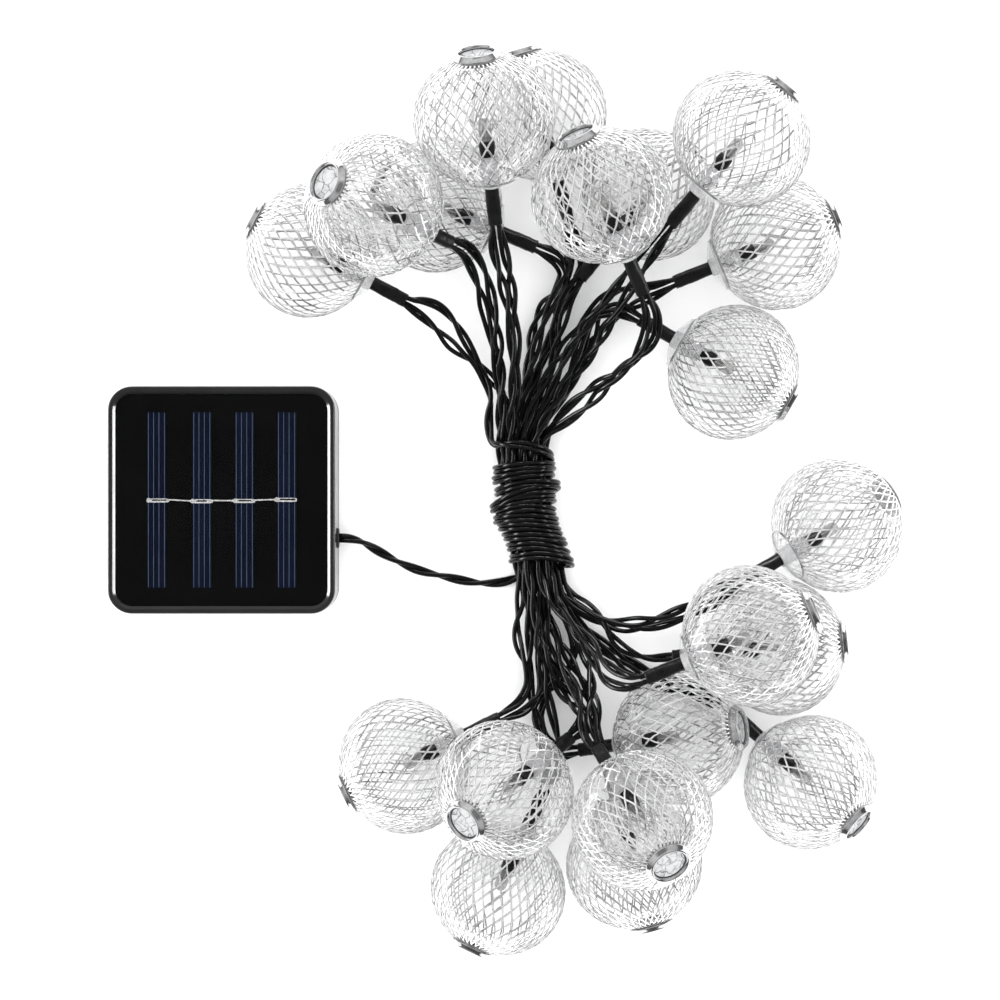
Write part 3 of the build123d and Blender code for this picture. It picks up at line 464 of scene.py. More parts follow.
class Builder:
    """Collects vertices and faces of one mesh."""

    def __init__(self):
        self.verts = []
        self.faces = []

    def add(self, verts, faces):
        base = len(self.verts)
        self.verts.extend(verts)
        self.faces.extend([tuple(base + i for i in f) for f in faces])

    def object(self, name, smooth=True):
        return mesh_object(name, self.verts, self.faces, smooth)


def spline_line(name, points, resolution):
    """Centreline of a smooth NURBS curve that has the route's points as its control points."""
    curve = bpy.data.curves.new(name, "CURVE")
    curve.dimensions = "3D"
    curve.resolution_u = resolution
    spline = curve.splines.new("NURBS")
    spline.points.add(len(points) - 1)
    for point, place in zip(spline.points, points):
        point.co = (place[0], place[1], place[2], 1.0)
    spline.order_u = 3
    spline.use_endpoint_u = True
    holder = bpy.data.objects.new(name, curve)
    mesh = bpy.data.meshes.new_from_object(holder)
    line = np.array([v.co[:] for v in mesh.vertices], float)
    bpy.data.meshes.remove(mesh)
    bpy.data.objects.remove(holder)
    bpy.data.curves.remove(curve)
    return line


def tangents(line):
    return unit(np.gradient(line, axis=0))


def carry(tangent, start):
    """Normals carried along a line without twist, from a first normal."""
    normals = [unit(start - tangent[0] * np.dot(start, tangent[0]))]
    for t in tangent[1:]:
        n = normals[-1] - t * np.dot(normals[-1], t)
        normals.append(unit(n))
    return np.array(normals)


def distance_along(line):
    steps = np.linalg.norm(np.diff(line, axis=0), axis=1)
    return np.concatenate([[0.0], np.cumsum(steps)])


def tube(builder, line, radius, sides=8, start=None):
    """Closed tube round a line; radius is one number or one per point."""
    t = tangents(line)
    first = start if start is not None else np.array([0.3, 0.2, 0.93])
    n = carry(t, np.asarray(first, float))
    b = np.cross(t, n)
    radius = np.broadcast_to(radius, (len(line),))
    turn = np.linspace(0, 2 * math.pi, sides, endpoint=False)
    ring = (
        line[:, None, :]
        + radius[:, None, None] * (np.cos(turn)[None, :, None] * n[:, None, :] + np.sin(turn)[None, :, None] * b[:, None, :])
    )
    verts = [tuple(v) for v in ring.reshape(-1, 3)]
    faces = []
    for i in range(len(line) - 1):
        for k in range(sides):
            j = (k + 1) % sides
            faces.append((i * sides + k, i * sides + j, (i + 1) * sides + j, (i + 1) * sides + k))
    faces.append(tuple(range(sides))[::-1])
    faces.append(tuple((len(line) - 1) * sides + k for k in range(sides)))
    builder.add(verts, faces)


def smoothstep(x, low, high):
    s = np.clip((np.asarray(x, float) - low) / (high - low), 0.0, 1.0)
    return s * s * (3 - 2 * s)


# ------------------------------------------------------------------ materials
def nodes_of(name):
    mat = bpy.data.materials.new(name)
    mat.use_nodes = True
    tree = mat.node_tree
    tree.nodes.clear()
    out = tree.nodes.new("ShaderNodeOutputMaterial")
    shader = tree.nodes.new("ShaderNodeBsdfPrincipled")
    tree.links.new(shader.outputs["BSDF"], out.inputs["Surface"])
    coords = tree.nodes.new("ShaderNodeTexCoord")
    return mat, tree, shader, coords, out


def noise(tree, coords, scale, detail=3.0, rough=0.55, stretch=None):
    tex = tree.nodes.new("ShaderNodeTexNoise")
    tex.inputs["Scale"].default_value = scale
    tex.inputs["Detail"].default_value = detail
    tex.inputs["Roughness"].default_value = rough
    if stretch is None:
        tree.links.new(coords.outputs["Object"], tex.inputs["Vector"])
    else:
        mapping = tree.nodes.new("ShaderNodeMapping")
        mapping.inputs["Scale"].default_value = stretch
        tree.links.new(coords.outputs["Object"], mapping.inputs["Vector"])
        tree.links.new(mapping.outputs["Vector"], tex.inputs["Vector"])
    return tex.outputs["Fac"]


def ramp(tree, value, low, high, c0, c1):
    node = tree.nodes.new("ShaderNodeValToRGB")
    node.color_ramp.elements[0].position = low
    node.color_ramp.elements[1].position = high
    node.color_ramp.elements[0].color = tuple(c0) + (1.0,)
    node.color_ramp.elements[1].color = tuple(c1) + (1.0,)
    tree.links.new(value, node.inputs["Fac"])
    return node.outputs["Color"]


def span_map(tree, value, low, high, to_low, to_high):
    node = tree.nodes.new("ShaderNodeMapRange")
    node.inputs["From Min"].default_value = low
    node.inputs["From Max"].default_value = high
    node.inputs["To Min"].default_value = to_low
    node.inputs["To Max"].default_value = to_high
    tree.links.new(value, node.inputs["Value"])
    return node.outputs["Result"]


def bump(tree, height, strength, distance, shader, after=None):
    node = tree.nodes.new("ShaderNodeBump")
    node.inputs["Strength"].default_value = strength
    node.inputs["Distance"].default_value = distance
    tree.links.new(height, node.inputs["Height"])
    if after is not None:
        tree.links.new(after, node.inputs["Normal"])
    if shader is not None:
        tree.links.new(node.outputs["Normal"], shader.inputs["Normal"])
    return node.outputs["Normal"]


def plain(
    name,
    dark,
    light,
    rough=(0.3, 0.4),
    metallic=0.0,
    specular=0.5,
    scale=500.0,
    grain=2600.0,
    relief=0.00002,
    strength=0.35,
    coat=0.0,
    ior=1.5,
    transmission=0.0,
    stretch=None,
    sheen=0.0,
):
    """Colour between two shades, varied roughness and a fine grain."""
    mat, tree, shader, coords, out = nodes_of(name)
    broad = noise(tree, coords, scale, 4.0, 0.6, stretch)
    fine = noise(tree, coords, grain, 2.0, 0.5, stretch)
    tree.links.new(ramp(tree, broad, 0.32, 0.68, dark, light), shader.inputs["Base Color"])
    tree.links.new(span_map(tree, broad, 0.3, 0.7, rough[0], rough[1]), shader.inputs["Roughness"])
    bump(tree, fine, strength, relief, shader)
    shader.inputs["Metallic"].default_value = metallic
    shader.inputs["Specular IOR Level"].default_value = specular
    shader.inputs["IOR"].default_value = ior
    shader.inputs["Coat Weight"].default_value = coat
    shader.inputs["Coat Roughness"].default_value = 0.08
    shader.inputs["Transmission Weight"].default_value = transmission
    shader.inputs["Sheen Weight"].default_value = sheen
    mat.diffuse_color = tuple(light) + (1.0,)
    return mat


MAT = {}
MAT["case_black"] = plain("case_black", (0.006, 0.006, 0.0065), (0.010, 0.010, 0.0105), rough=(0.14, 0.2), scale=90, grain=1400, relief=0.000008, strength=0.15, specular=0.45)
MAT["cover_black"] = plain("cover_black", (0.009, 0.009, 0.0095), (0.016, 0.016, 0.0165), rough=(0.46, 0.6), scale=160, grain=2300, relief=0.00005, strength=0.6, specular=0.4)
MAT["seal_rubber"] = plain("seal_rubber", (0.008, 0.008, 0.008), (0.016, 0.016, 0.016), rough=(0.6, 0.75), scale=240, grain=1800)
MAT["board_black"] = plain("board_black", (0.0006, 0.0006, 0.0007), (0.0013, 0.0013, 0.0014), rough=(0.45, 0.6), scale=70, grain=2200, specular=0.06)
MAT["screw_steel"] = plain("screw_steel", (0.42, 0.42, 0.43), (0.6, 0.6, 0.6), rough=(0.22, 0.38), metallic=1.0, scale=900, grain=5200)
MAT["button_grey"] = plain("button_grey", (0.11, 0.11, 0.115), (0.15, 0.15, 0.155), rough=(0.42, 0.55), scale=260, grain=2600, relief=0.00004, strength=0.5)
MAT["switch_black"] = plain("switch_black", (0.02, 0.02, 0.02), (0.035, 0.035, 0.035), rough=(0.35, 0.5))
MAT["pcb_green"] = plain("pcb_green", (0.01, 0.07, 0.03), (0.02, 0.12, 0.05), rough=(0.3, 0.45), scale=320)
MAT["chip_black"] = plain("chip_black", (0.015, 0.015, 0.016), (0.03, 0.03, 0.032), rough=(0.45, 0.6))
MAT["battery_wrap"] = plain("battery_wrap", (0.02, 0.16, 0.08), (0.03, 0.22, 0.11), rough=(0.28, 0.36), scale=120)
MAT["contact_steel"] = plain("contact_steel", (0.5, 0.5, 0.49), (0.68, 0.67, 0.65), rough=(0.25, 0.4), metallic=1.0)
MAT["wire_black"] = plain("wire_black", (0.0016, 0.0016, 0.0017), (0.0032, 0.0032, 0.0033), rough=(0.16, 0.24), scale=260, grain=2100, relief=0.00001, strength=0.15, specular=0.14)
MAT["wire_red"] = plain("wire_red", (0.3, 0.012, 0.01), (0.42, 0.02, 0.015), rough=(0.3, 0.4))
MAT["sleeve_black"] = plain("sleeve_black", (0.0018, 0.0018, 0.0019), (0.0045, 0.0045, 0.0048), rough=(0.26, 0.4), scale=420, grain=1500, relief=0.00004, strength=0.3, specular=0.16)
MAT["mesh_silver"] = plain("mesh_silver", (0.72, 0.72, 0.725), (0.95, 0.95, 0.95), rough=(0.1, 0.2), metallic=0.92, scale=420, grain=5200, relief=0.00001, strength=0.15, specular=0.6)
MAT["eyelet_chrome"] = plain("eyelet_chrome", (0.43, 0.43, 0.435), (0.6, 0.6, 0.605), rough=(0.06, 0.12), metallic=0.98, scale=380, grain=3600, relief=0.00001, strength=0.15)
MAT["tinned_ribbon"] = plain("tinned_ribbon", (0.6, 0.595, 0.57), (0.88, 0.87, 0.84), rough=(0.16, 0.34), metallic=0.7, scale=900, grain=3800, relief=0.00004, strength=0.5, specular=0.8)
MAT["frosted_plastic"] = plain("frosted_plastic", (0.62, 0.625, 0.63), (0.78, 0.785, 0.79), rough=(0.3, 0.42), scale=600, grain=2400, relief=0.00003, strength=0.3, specular=0.4)
MAT["frosted_plastic"].node_tree.nodes["Principled BSDF"].inputs["Alpha"].default_value = 0.2
MAT["clear_plastic"] = plain("clear_plastic", (0.34, 0.34, 0.345), (0.6, 0.6, 0.61), rough=(0.14, 0.24), scale=500, specular=0.6)
MAT["clear_plastic"].node_tree.nodes["Principled BSDF"].inputs["Alpha"].default_value = 0.7
MAT["lamp_epoxy"] = plain("lamp_epoxy", (0.12, 0.12, 0.12), (0.3, 0.3, 0.29), rough=(0.05, 0.1), specular=0.6, scale=700)
MAT["lamp_epoxy"].node_tree.nodes["Principled BSDF"].inputs["Alpha"].default_value = 0.5
MAT["lead_frame"] = plain("lead_frame", (0.006, 0.006, 0.006), (0.03, 0.03, 0.03), rough=(0.3, 0.5), metallic=0.4, scale=900)


def cell_material():
    """Deep blue silicon with faint crystal shading and finer finger lines across."""
    mat, tree, shader, coords, out = nodes_of("silicon_blue")
    broad = noise(tree, coords, 180.0, 3.0, 0.5, (1.0, 0.12, 1.0))
    tree.links.new(ramp(tree, broad, 0.3, 0.7, (0.0007, 0.0018, 0.008), (0.0012, 0.003, 0.0125)), shader.inputs["Base Color"])
    wave = tree.nodes.new("ShaderNodeTexWave")
    wave.wave_type = "BANDS"
    wave.bands_direction = "Y"
    wave.inputs["Scale"].default_value = 380.0
    wave.inputs["Distortion"].default_value = 0.0
    tree.links.new(coords.outputs["Object"], wave.inputs["Vector"])
    bump(tree, wave.outputs["Fac"], 0.25, 0.00001, shader)
    tree.links.new(span_map(tree, broad, 0.3, 0.7, 0.3, 0.42), shader.inputs["Roughness"])
    shader.inputs["Specular IOR Level"].default_value = 0.08
    return mat


MAT["silicon_blue"] = cell_material()


def resin_material():
    """Clear glossy layer: see-through, with the surface's own reflection."""
    mat, tree, shader, coords, out = nodes_of("clear_resin")
    tree.nodes.remove(shader)
    clear = tree.nodes.new("ShaderNodeBsdfTransparent")
    clear.inputs["Color"].default_value = (0.97, 0.97, 0.98, 1.0)
    gloss = tree.nodes.new("ShaderNodeBsdfGlossy")
    gloss.inputs["Color"].default_value = (1.0, 1.0, 1.0, 1.0)
    wave = noise(tree, coords, 30.0, 2.0, 0.5)
    tree.links.new(span_map(tree, wave, 0.3, 0.7, 0.04, 0.08), gloss.inputs["Roughness"])
    normal = bump(tree, wave, 0.03, 0.00002, None)
    tree.links.new(normal, gloss.inputs["Normal"])
    fresnel = tree.nodes.new("ShaderNodeFresnel")
    fresnel.inputs["IOR"].default_value = 1.16
    mix = tree.nodes.new("ShaderNodeMixShader")
    tree.links.new(fresnel.outputs["Fac"], mix.inputs["Fac"])
    tree.links.new(clear.outputs["BSDF"], mix.inputs[1])
    tree.links.new(gloss.outputs["BSDF"], mix.inputs[2])
    tree.links.new(mix.outputs["Shader"], out.inputs["Surface"])
    return mat


MAT["clear_resin"] = resin_material()


def resin_under_material():
    """Where the clear layer lies on the cells: no surface of its own, only its faint tint."""
    mat, tree, shader, coords, out = nodes_of("clear_resin_under")
    tree.nodes.remove(shader)
    clear = tree.nodes.new("ShaderNodeBsdfTransparent")
    tint = noise(tree, coords, 60.0, 2.0, 0.5)
    tree.links.new(ramp(tree, tint, 0.3, 0.7, (0.96, 0.96, 0.97), (0.98, 0.98, 0.99)), clear.inputs["Color"])
    tree.links.new(clear.outputs["BSDF"], out.inputs["Surface"])
    return mat


MAT["clear_resin_under"] = resin_under_material()


def crackle_material():
    """Milky plastic disc: crackled plates, with painted shade darkening the creases between them."""
    mat, tree, shader, coords, out = nodes_of("crackled_clear")
    warp = tree.nodes.new("ShaderNodeTexNoise")
    warp.inputs["Scale"].default_value = 300.0
    warp.inputs["Detail"].default_value = 2.0
    tree.links.new(coords.outputs["Object"], warp.inputs["Vector"])
    push = tree.nodes.new("ShaderNodeVectorMath")
    push.operation = "MULTIPLY_ADD"
    push.inputs[1].default_value = (0.0028, 0.0028, 0.0028)
    tree.links.new(warp.outputs["Color"], push.inputs[0])
    tree.links.new(coords.outputs["Object"], push.inputs[2])
    cells = tree.nodes.new("ShaderNodeTexVoronoi")
    cells.feature = "DISTANCE_TO_EDGE"
    cells.inputs["Scale"].default_value = 270.0
    tree.links.new(push.outputs["Vector"], cells.inputs["Vector"])
    crease = span_map(tree, cells.outputs["Distance"], 0.0, 0.045, 0.0, 1.0)
    broad = noise(tree, coords, 420.0, 4.0, 0.65)
    # painted shade: the crease mask darkens the base colour in the creases; the bump below gives their real relief
    painted_crease_shade = ramp(tree, crease, 0.0, 0.9, (0.13, 0.135, 0.145), (0.5, 0.505, 0.51))
    blotch = ramp(tree, broad, 0.3, 0.5, (0.5, 0.51, 0.53), (1.0, 1.0, 1.0))
    mix = tree.nodes.new("ShaderNodeMix")
    mix.data_type = "RGBA"
    mix.blend_type = "MULTIPLY"
    mix.inputs["Factor"].default_value = 1.0
    tree.links.new(painted_crease_shade, [i for i in mix.inputs if i.name == "A" and i.type == "RGBA"][0])
    tree.links.new(blotch, [i for i in mix.inputs if i.name == "B" and i.type == "RGBA"][0])
    tree.links.new([o for o in mix.outputs if o.type == "RGBA"][0], shader.inputs["Base Color"])
    first = bump(tree, crease, 0.6, 0.00025, None)
    bump(tree, broad, 0.5, 0.0003, shader, after=first)
    tree.links.new(span_map(tree, broad, 0.3, 0.7, 0.12, 0.26), shader.inputs["Roughness"])
    shader.inputs["Transmission Weight"].default_value = 0.12
    shader.inputs["IOR"].default_value = 1.4
    return mat


MAT["crackled_clear"] = crackle_material()


def finish(obj, slot, body=ROOT):
    obj.data.materials.clear()
    obj.data.materials.append(MAT[slot])
    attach(obj, body)
    return obj


# ------------------------------------------------------------------ the string
STRAND = 0.74 * MM  # wire radius; two wires make one cord
PAIR = 0.735 * MM  # each wire's centre from the cord's centreline


def strands(name, line, first, twist, offset):
    """Two wires twisted along a line: angle and distance from it at each point."""
    t = tangents(line)
    n = carry(t, first) if np.ndim(first) == 1 else first
    b = np.cross(t, n)
    side = np.cos(twist)[:, None] * n + np.sin(twist)[:, None] * b
    build = Builder()
    for sign in (1.0, -1.0):
        tube(build, line + sign * offset[:, None] * side, STRAND, sides=10)
    return build.object(name)


def eyes(along, total, rng):
    """How far the two wires stand apart: tight in the bundle, open eyes near the lanterns."""
    reach = np.full(len(along), PAIR)
    for end in (0, 1):
        s = along if end == 0 else total - along
        centre = rng.uniform(16, 26) * MM
        for k in range(2):
            height = rng.uniform(0.15, 0.5) * MM
            width = rng.uniform(4.5, 7.5) * MM
            reach = reach + height * np.exp(-(((s - centre) / width) ** 2)) * smoothstep(s, 3 * MM, 12 * MM)
            centre += rng.uniform(17, 24) * MM
    return reach


def mouth_side(end):
    """Across which way a cord's two wires lie in the sleeve's mouth: square to the line to its neighbour cord."""
    end = np.array(end)
    for centre, axis in LANTERNS:
        z = unit(np.array(axis))
        gap = end - (np.array(centre) + z * 0.0312)
        if np.linalg.norm(gap) < 0.0012:
            if np.linalg.norm(gap) < 0.0002:
                return unit(np.cross(z, (0.0, 0.0, 1.0)))
            return unit(np.cross(z, gap))
    return None


def matched_twist(line, n, along, pitch, first, last, phase):
    """Twist angle along the line that starts and ends lying as the two sleeves hold the wires."""
    t = tangents(line)
    b = np.cross(t, n)
    start = phase if first is None else math.atan2(float(np.dot(first, b[0])), float(np.dot(first, n[0])))
    end = start + 2 * math.pi * along[-1] / pitch
    if last is not None:
        held = math.atan2(float(np.dot(last, b[-1])), float(np.dot(last, n[-1])))
        end = held + math.pi * round((end - held) / math.pi)
    way = smoothstep(along / along[-1], -0.02, 1.02) * 0.25 + 0.75 * np.clip((along - 0.003) / (along[-1] - 0.006), 0, 1)
    return start + (end - start) * (way - way[0]) / (way[-1] - way[0])


for number, (name, points) in enumerate(SPANS.items()):
    rng = np.random.default_rng(700 + number)
    line = spline_line(name, points, 20)
    along = distance_along(line)
    total = along[-1]
    pitch = rng.uniform(25, 33) * MM
    normals = carry(tangents(line), np.array([0.1, 0.2, 0.97]))
    window = smoothstep(along, 6 * MM, 25 * MM) * smoothstep(total - along, 6 * MM, 25 * MM)
    wander = 0.6 * np.sin(2 * math.pi * along / (61 * MM) + rng.uniform(0, 6)) * window
    twist = matched_twist(line, normals, along, pitch, mouth_side(points[0]), mouth_side(points[-1]), rng.uniform(0, 3)) + wander
    pair = strands("string_" + name[-2:], line, normals, twist, eyes(along, total, rng))
    finish(pair, "wire_black")
    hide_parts(name)

# The lead: out of the panel box, wound round the bundle, on to the first lantern.
UP = np.array([0.0, 0.0, 1.0])
PER_TURN = 16
# Where each turn passes the bundle's right side, its top and its left side, in mm along Y.
TURN_RIGHT = (-18.9, -16.4, -12.4, -9.2, -6.1, -3.1, 1.1, 3.9, 5.1, 9.1, 11.1, 13.7)
TURN_TOP = (-16.4, -13.4, -10.6, -7.6, -4.8, -1.8, 0.7, 3.1, 5.5, 8.4, 11.1, 17.5)
TURN_LEFT = (-17.8, -14.2, -11.0, -7.9, -5.8, -4.0, -1.0, -2.4, 2.8, 6.5, 9.7, 17.4)
# How much farther out than the rest a turn stands there: one turn rides over its neighbours.
PROUD_RIGHT = {0: 0.9, 2: 0.2, 4: 0.3, 8: 1.6, 10: 0.4}
PROUD_TOP = {2: 0.2, 5: 0.25, 7: 0.35, 9: 0.2, 11: 0.5}
PROUD_LEFT = {3: 0.3, 4: 0.9, 5: -0.1, 7: 1.5, 9: 0.5, 11: 0.3}
# The bundle's middle: X against Y, in mm.
MIDDLE_Y = (-21.9, -18.3, -15.6, -11.6, -8.0, -4.6, 3.6, 8.1, 17.5)
MIDDLE_X = (11.3, 10.9, 10.6, 9.1, 7.6, 6.3, 6.3, 5.9, 5.4)


def through(keys, t):
    """Smooth curve through equally spaced values."""
    k = int(min(max(math.floor(t), 0), len(keys) - 2))
    u = t - k
    p0, p1, p2, p3 = keys[max(k - 1, 0)], keys[k], keys[k + 1], keys[min(k + 2, len(keys) - 1)]
    return 0.5 * (2 * p1 + (p2 - p0) * u + (2 * p0 - 5 * p1 + 4 * p2 - p3) * u * u + (3 * p1 - p0 - 3 * p2 + p3) * u**3)


def coil_points():
    """Turns round the bundle, from the lead's end up to the tail, 16 points a turn."""
    along_y, proud = [-21.2], [0.2]  # under the bundle, before the first turn
    for n in range(12):
        along_y += [TURN_RIGHT[n], TURN_TOP[n], TURN_LEFT[n]]
        proud += [PROUD_RIGHT.get(n, 0), PROUD_TOP.get(n, 0), PROUD_LEFT.get(n, 0)]
        if n < 11:
            along_y.append(0.5 * (TURN_LEFT[n] + TURN_RIGHT[n + 1]))
            proud.append(0.45)
    points = []
    last = int(4 * 11.44 * PER_TURN / 4) + PER_TURN // 4
    for k in range(1, last + 1):
        quarter = k / (PER_TURN / 4)  # 0 under the bundle, 1 at the right, 2 on top, 3 at the left
        angle = math.pi / 2 * (quarter - 1)
        y = through(along_y, quarter)
        r = 9.15 + through(proud, quarter)
        x = float(np.interp(y, MIDDLE_Y, MIDDLE_X)) + r * math.cos(angle)
        z = 10.85 + r * math.sin(angle)
        points.append((x * MM, y * MM, max(z, 1.0) * MM))
    return points


COIL_AXIS = unit(np.array([-0.1380, 0.9904, 0.0]))
COIL = coil_points()
LEAD_ROUTE = LEAD + tuple(COIL) + TAIL
lead_line = spline_line("lead", LEAD_ROUTE, 8)
lead_along = distance_along(lead_line)
lead_t = tangents(lead_line)
# which stretch of the line is wound: nearest points to the first and last coil points
first_turn = int(np.argmin(np.linalg.norm(lead_line - np.array(COIL[3]), axis=1)))
last_turn = len(lead_line) - 1 - int(np.argmin(np.linalg.norm(lead_line[::-1] - np.array(COIL[-4]), axis=1)))
wound = np.array([unit(COIL_AXIS - t * np.dot(COIL_AXIS, t)) for t in lead_t])
lead_n = wound.copy()
lead_n[last_turn:] = carry(lead_t[last_turn:], wound[last_turn])
lead_n[: first_turn + 1] = carry(lead_t[: first_turn + 1][::-1], wound[first_turn])[::-1]
after = np.clip(lead_along - lead_along[last_turn], 0, None)
before = np.clip(lead_along[first_turn] - lead_along, 0, None)
lead_twist = 2 * math.pi * (after / (30 * MM) + before / (27 * MM))
# the two wires roll a little round each other on the turns
rolling = smoothstep(lead_along, lead_along[first_turn], lead_along[first_turn] + 0.02) * smoothstep(lead_along[last_turn] - lead_along, 0.0, 0.02)
lead_twist = lead_twist + rolling * (0.22 * np.sin(2 * math.pi * lead_along / 0.047) + 0.16 * np.sin(2 * math.pi * lead_along / 0.0183 + 1.0))
held_end = mouth_side(TAIL[-1])
lead_b = np.cross(lead_t[-1], lead_n[-1])
held_angle = math.atan2(float(np.dot(held_end, lead_b)), float(np.dot(held_end, lead_n[-1])))
rest_turn = held_angle + math.pi * round((lead_twist[-1] - held_angle) / math.pi) - lead_twist[-1]
lead_twist = lead_twist + rest_turn * after / max(after[-1], 1e-9)
lead_offset = PAIR + 0.45 * MM * np.exp(-(((lead_along[-1] - lead_along - 20 * MM) / (6 * MM)) ** 2))
lead = strands("string_lead", lead_line, lead_n, lead_twist, lead_offset)
finish(lead, "wire_black")
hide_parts("lead_cord", "wrap_coil", "lead_tail")

# ------------------------------------------------------------------ lanterns
GLOBE_ACROSS, GLOBE_ALONG = 21.0, 19.9
RING_CUT, NECK_CUT = -19.0, 18.4
WIRES, EDGE = 38, 3.5  # wires in each of the two slanting sets; side of one lattice cell
ENDS = {}


def lantern_axes(index):
    centre, axis = LANTERNS[index]
    z = unit(np.array(axis))
    x = unit(np.cross(z, UP))
    return np.array(centre), x, np.cross(z, x), z


def placed(index, local):
    """Points in millimetres in the lantern's own frame, as points of the row frame."""
    centre, x, y, z = lantern_axes(index)
    local = np.asarray(local, float) * MM
    return centre + local[..., 0:1] * x + local[..., 1:2] * y + local[..., 2:3] * z


def lattice_table():
    """Height, radius and twist angle along a wire, equally spaced along the skin."""
    across, along = GLOBE_ACROSS - 0.28, GLOBE_ALONG - 0.28
    s = np.linspace(math.asin(RING_CUT / GLOBE_ALONG), math.asin(NECK_CUT / GLOBE_ALONG), 900)
    rho, height = across * np.cos(s), along * np.sin(s)
    arc = np.concatenate([[0], np.cumsum(np.hypot(np.diff(rho), np.diff(height)))])
    rise = np.sqrt(EDGE**2 - (math.pi * rho / WIRES) ** 2)
    rate = (math.pi / WIRES) / rise
    turn = np.concatenate([[0], np.cumsum(0.5 * (rate[1:] + rate[:-1]) * np.diff(arc))])
    middle = np.interp(arc[-1] / 2, arc, turn)
    grid = np.linspace(0, arc[-1], 50)
    return np.interp(grid, arc, rho), np.interp(grid, arc, height), np.interp(grid, arc, turn) - middle


LATTICE = lattice_table()


def globe(index):
    rng = np.random.default_rng(100 + index)
    rho, height, turn = LATTICE
    count = len(rho)
    phase = rng.uniform(0, 2 * math.pi)
    lobes = rng.normal(0, 1, 6)
    lines = []
    for sign in (1.0, -1.0):
        for i in range(WIRES):
            phi = 2 * math.pi * i / WIRES + sign * turn + phase
            # the net is never quite even: slow drifts and small kinks
            phi = phi + 0.035 * lobes[0] * np.sin(2 * phi + height / 9 + lobes[1]) * np.cos(height / 14)
            phi = phi + 0.004 * rng.normal(0, 1, count)
            over = 0.11 * sign * np.cos(WIRES * turn)
            r = rho * (1 + 0.006 * np.sin(3 * phi + lobes[2]) + 0.005 * lobes[3] * np.cos(2 * phi + lobes[4])) + over * rho / GLOBE_ACROSS
            h = height + 0.16 * np.sin(phi * 2 + lobes[5]) * np.cos(height / 13) + rng.normal(0, 0.03, count)
            lines.append(np.stack([r * np.cos(phi), r * np.sin(phi), h], axis=-1))
    lines = np.array(lines)  # wires, points, 3
    # section: flat strip, wider than it is thick, turned with the skin
    out = lines.copy()
    out[..., 2] *= (GLOBE_ACROSS / GLOBE_ALONG) ** 2
    out = unit(out)
    along = unit(np.gradient(lines, axis=1))
    side = unit(np.cross(along, out))
    out = np.cross(side, along)
    sides = 6
    across = np.array([0.92, 1.0, 0.58, -0.58, -1.0, -0.92])
    deep = np.array([-0.16, 0.0, 0.16, 0.16, 0.0, -0.16])
    width = 0.262 - 0.03 * (1 - rho / GLOBE_ACROSS)
    half_w = width[None, :, None, None] * across[None, None, :, None]
    half_h = deep[None, None, :, None]
    rings = lines[:, :, None, :] + half_w * side[:, :, None, :] + half_h * out[:, :, None, :]
    verts = placed(index, rings.reshape(-1, 3))
    faces = []
    for w in range(len(lines)):
        base = w * count * sides
        for p in range(count - 1):
            a = base + p * sides
            for k in range(sides):
                j = (k + 1) % sides
                faces.append((a + k, a + j, a + sides + j, a + sides + k))
        faces.append(tuple(base + k for k in range(sides))[::-1])
        faces.append(tuple(base + (count - 1) * sides + k for k in range(sides)))
    obj = mesh_object(f"globe_net_{index + 1:02d}", verts, faces, smooth=False)
    finish(obj, "mesh_silver")
    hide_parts("mesh_globes")
    return obj


for index in range(len(LANTERNS)):
    globe(index)


def revolved(profile, segments, closed=True, radial=None):
    """Ring mesh from a profile of (radius, height); radial(angle, k) scales or moves each point's radius."""
    verts, faces = [], []
    count = len(profile)
    for j in range(segments):
        angle = 2 * math.pi * j / segments
        for k, (r, h) in enumerate(profile):
            dr, dh = radial(angle, k) if radial else (0.0, 0.0)
            verts.append(((r + dr) * math.cos(angle), (r + dr) * math.sin(angle), h + dh))
    last = count if closed else count - 1
    for j in range(segments):
        m = (j + 1) % segments
        for k in range(last):
            n = (k + 1) % count
            faces.append((j * count + k, m * count + k, m * count + n, j * count + n))
    return verts, faces


def rounded(profile, rounds, steps=4):
    """Profile with each named corner replaced by a short curve."""
    result = []
    count = len(profile)
    for i, point in enumerate(profile):
        cut = rounds.get(i, 0.0)
        p = np.array(point, float)
        if cut <= 0:
            result.append(tuple(p))
            continue
        a, b = np.array(profile[i - 1], float), np.array(profile[(i + 1) % count], float)
        pa = p + unit(a - p) * min(cut, 0.45 * np.linalg.norm(a - p))
        pb = p + unit(b - p) * min(cut, 0.45 * np.linalg.norm(b - p))
        for q in np.linspace(0, 1, steps + 1):
            result.append(tuple((1 - q) ** 2 * pa + 2 * q * (1 - q) * p + q * q * pb))
    return result


def lantern_set(name, slot, node, shapes):
    """One mesh holding a small part of every lantern."""
    build = Builder()
    for index in range(len(LANTERNS)):
        verts, faces = shapes(index)
        build.add([tuple(v) for v in placed(index, verts)], faces)
    obj = build.object(name)
    finish(obj, slot)
    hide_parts(node)
    return obj


# Bright eyelet: rolled collar outside, skirt pressed on the net, flange inside.
EYELET = rounded(
    [
        (5.05, RING_CUT + 1.6),
        (6.9, RING_CUT + 1.6),
        (6.9, RING_CUT + 1.15),
        (6.0, RING_CUT + 1.0),
        (6.0, RING_CUT - 0.02),
        (7.1, RING_CUT + 0.02),
        (7.05, RING_CUT - 0.22),
        (6.15, RING_CUT - 1.25),
        (5.98, RING_CUT - 1.62),
        (5.4, RING_CUT - 1.62),
        (5.12, RING_CUT - 1.2),
        (5.05, RING_CUT - 0.4),
    ],
    {1: 0.2, 2: 0.2, 6: 0.12, 7: 0.25, 8: 0.3, 9: 0.3, 10: 0.2},
)


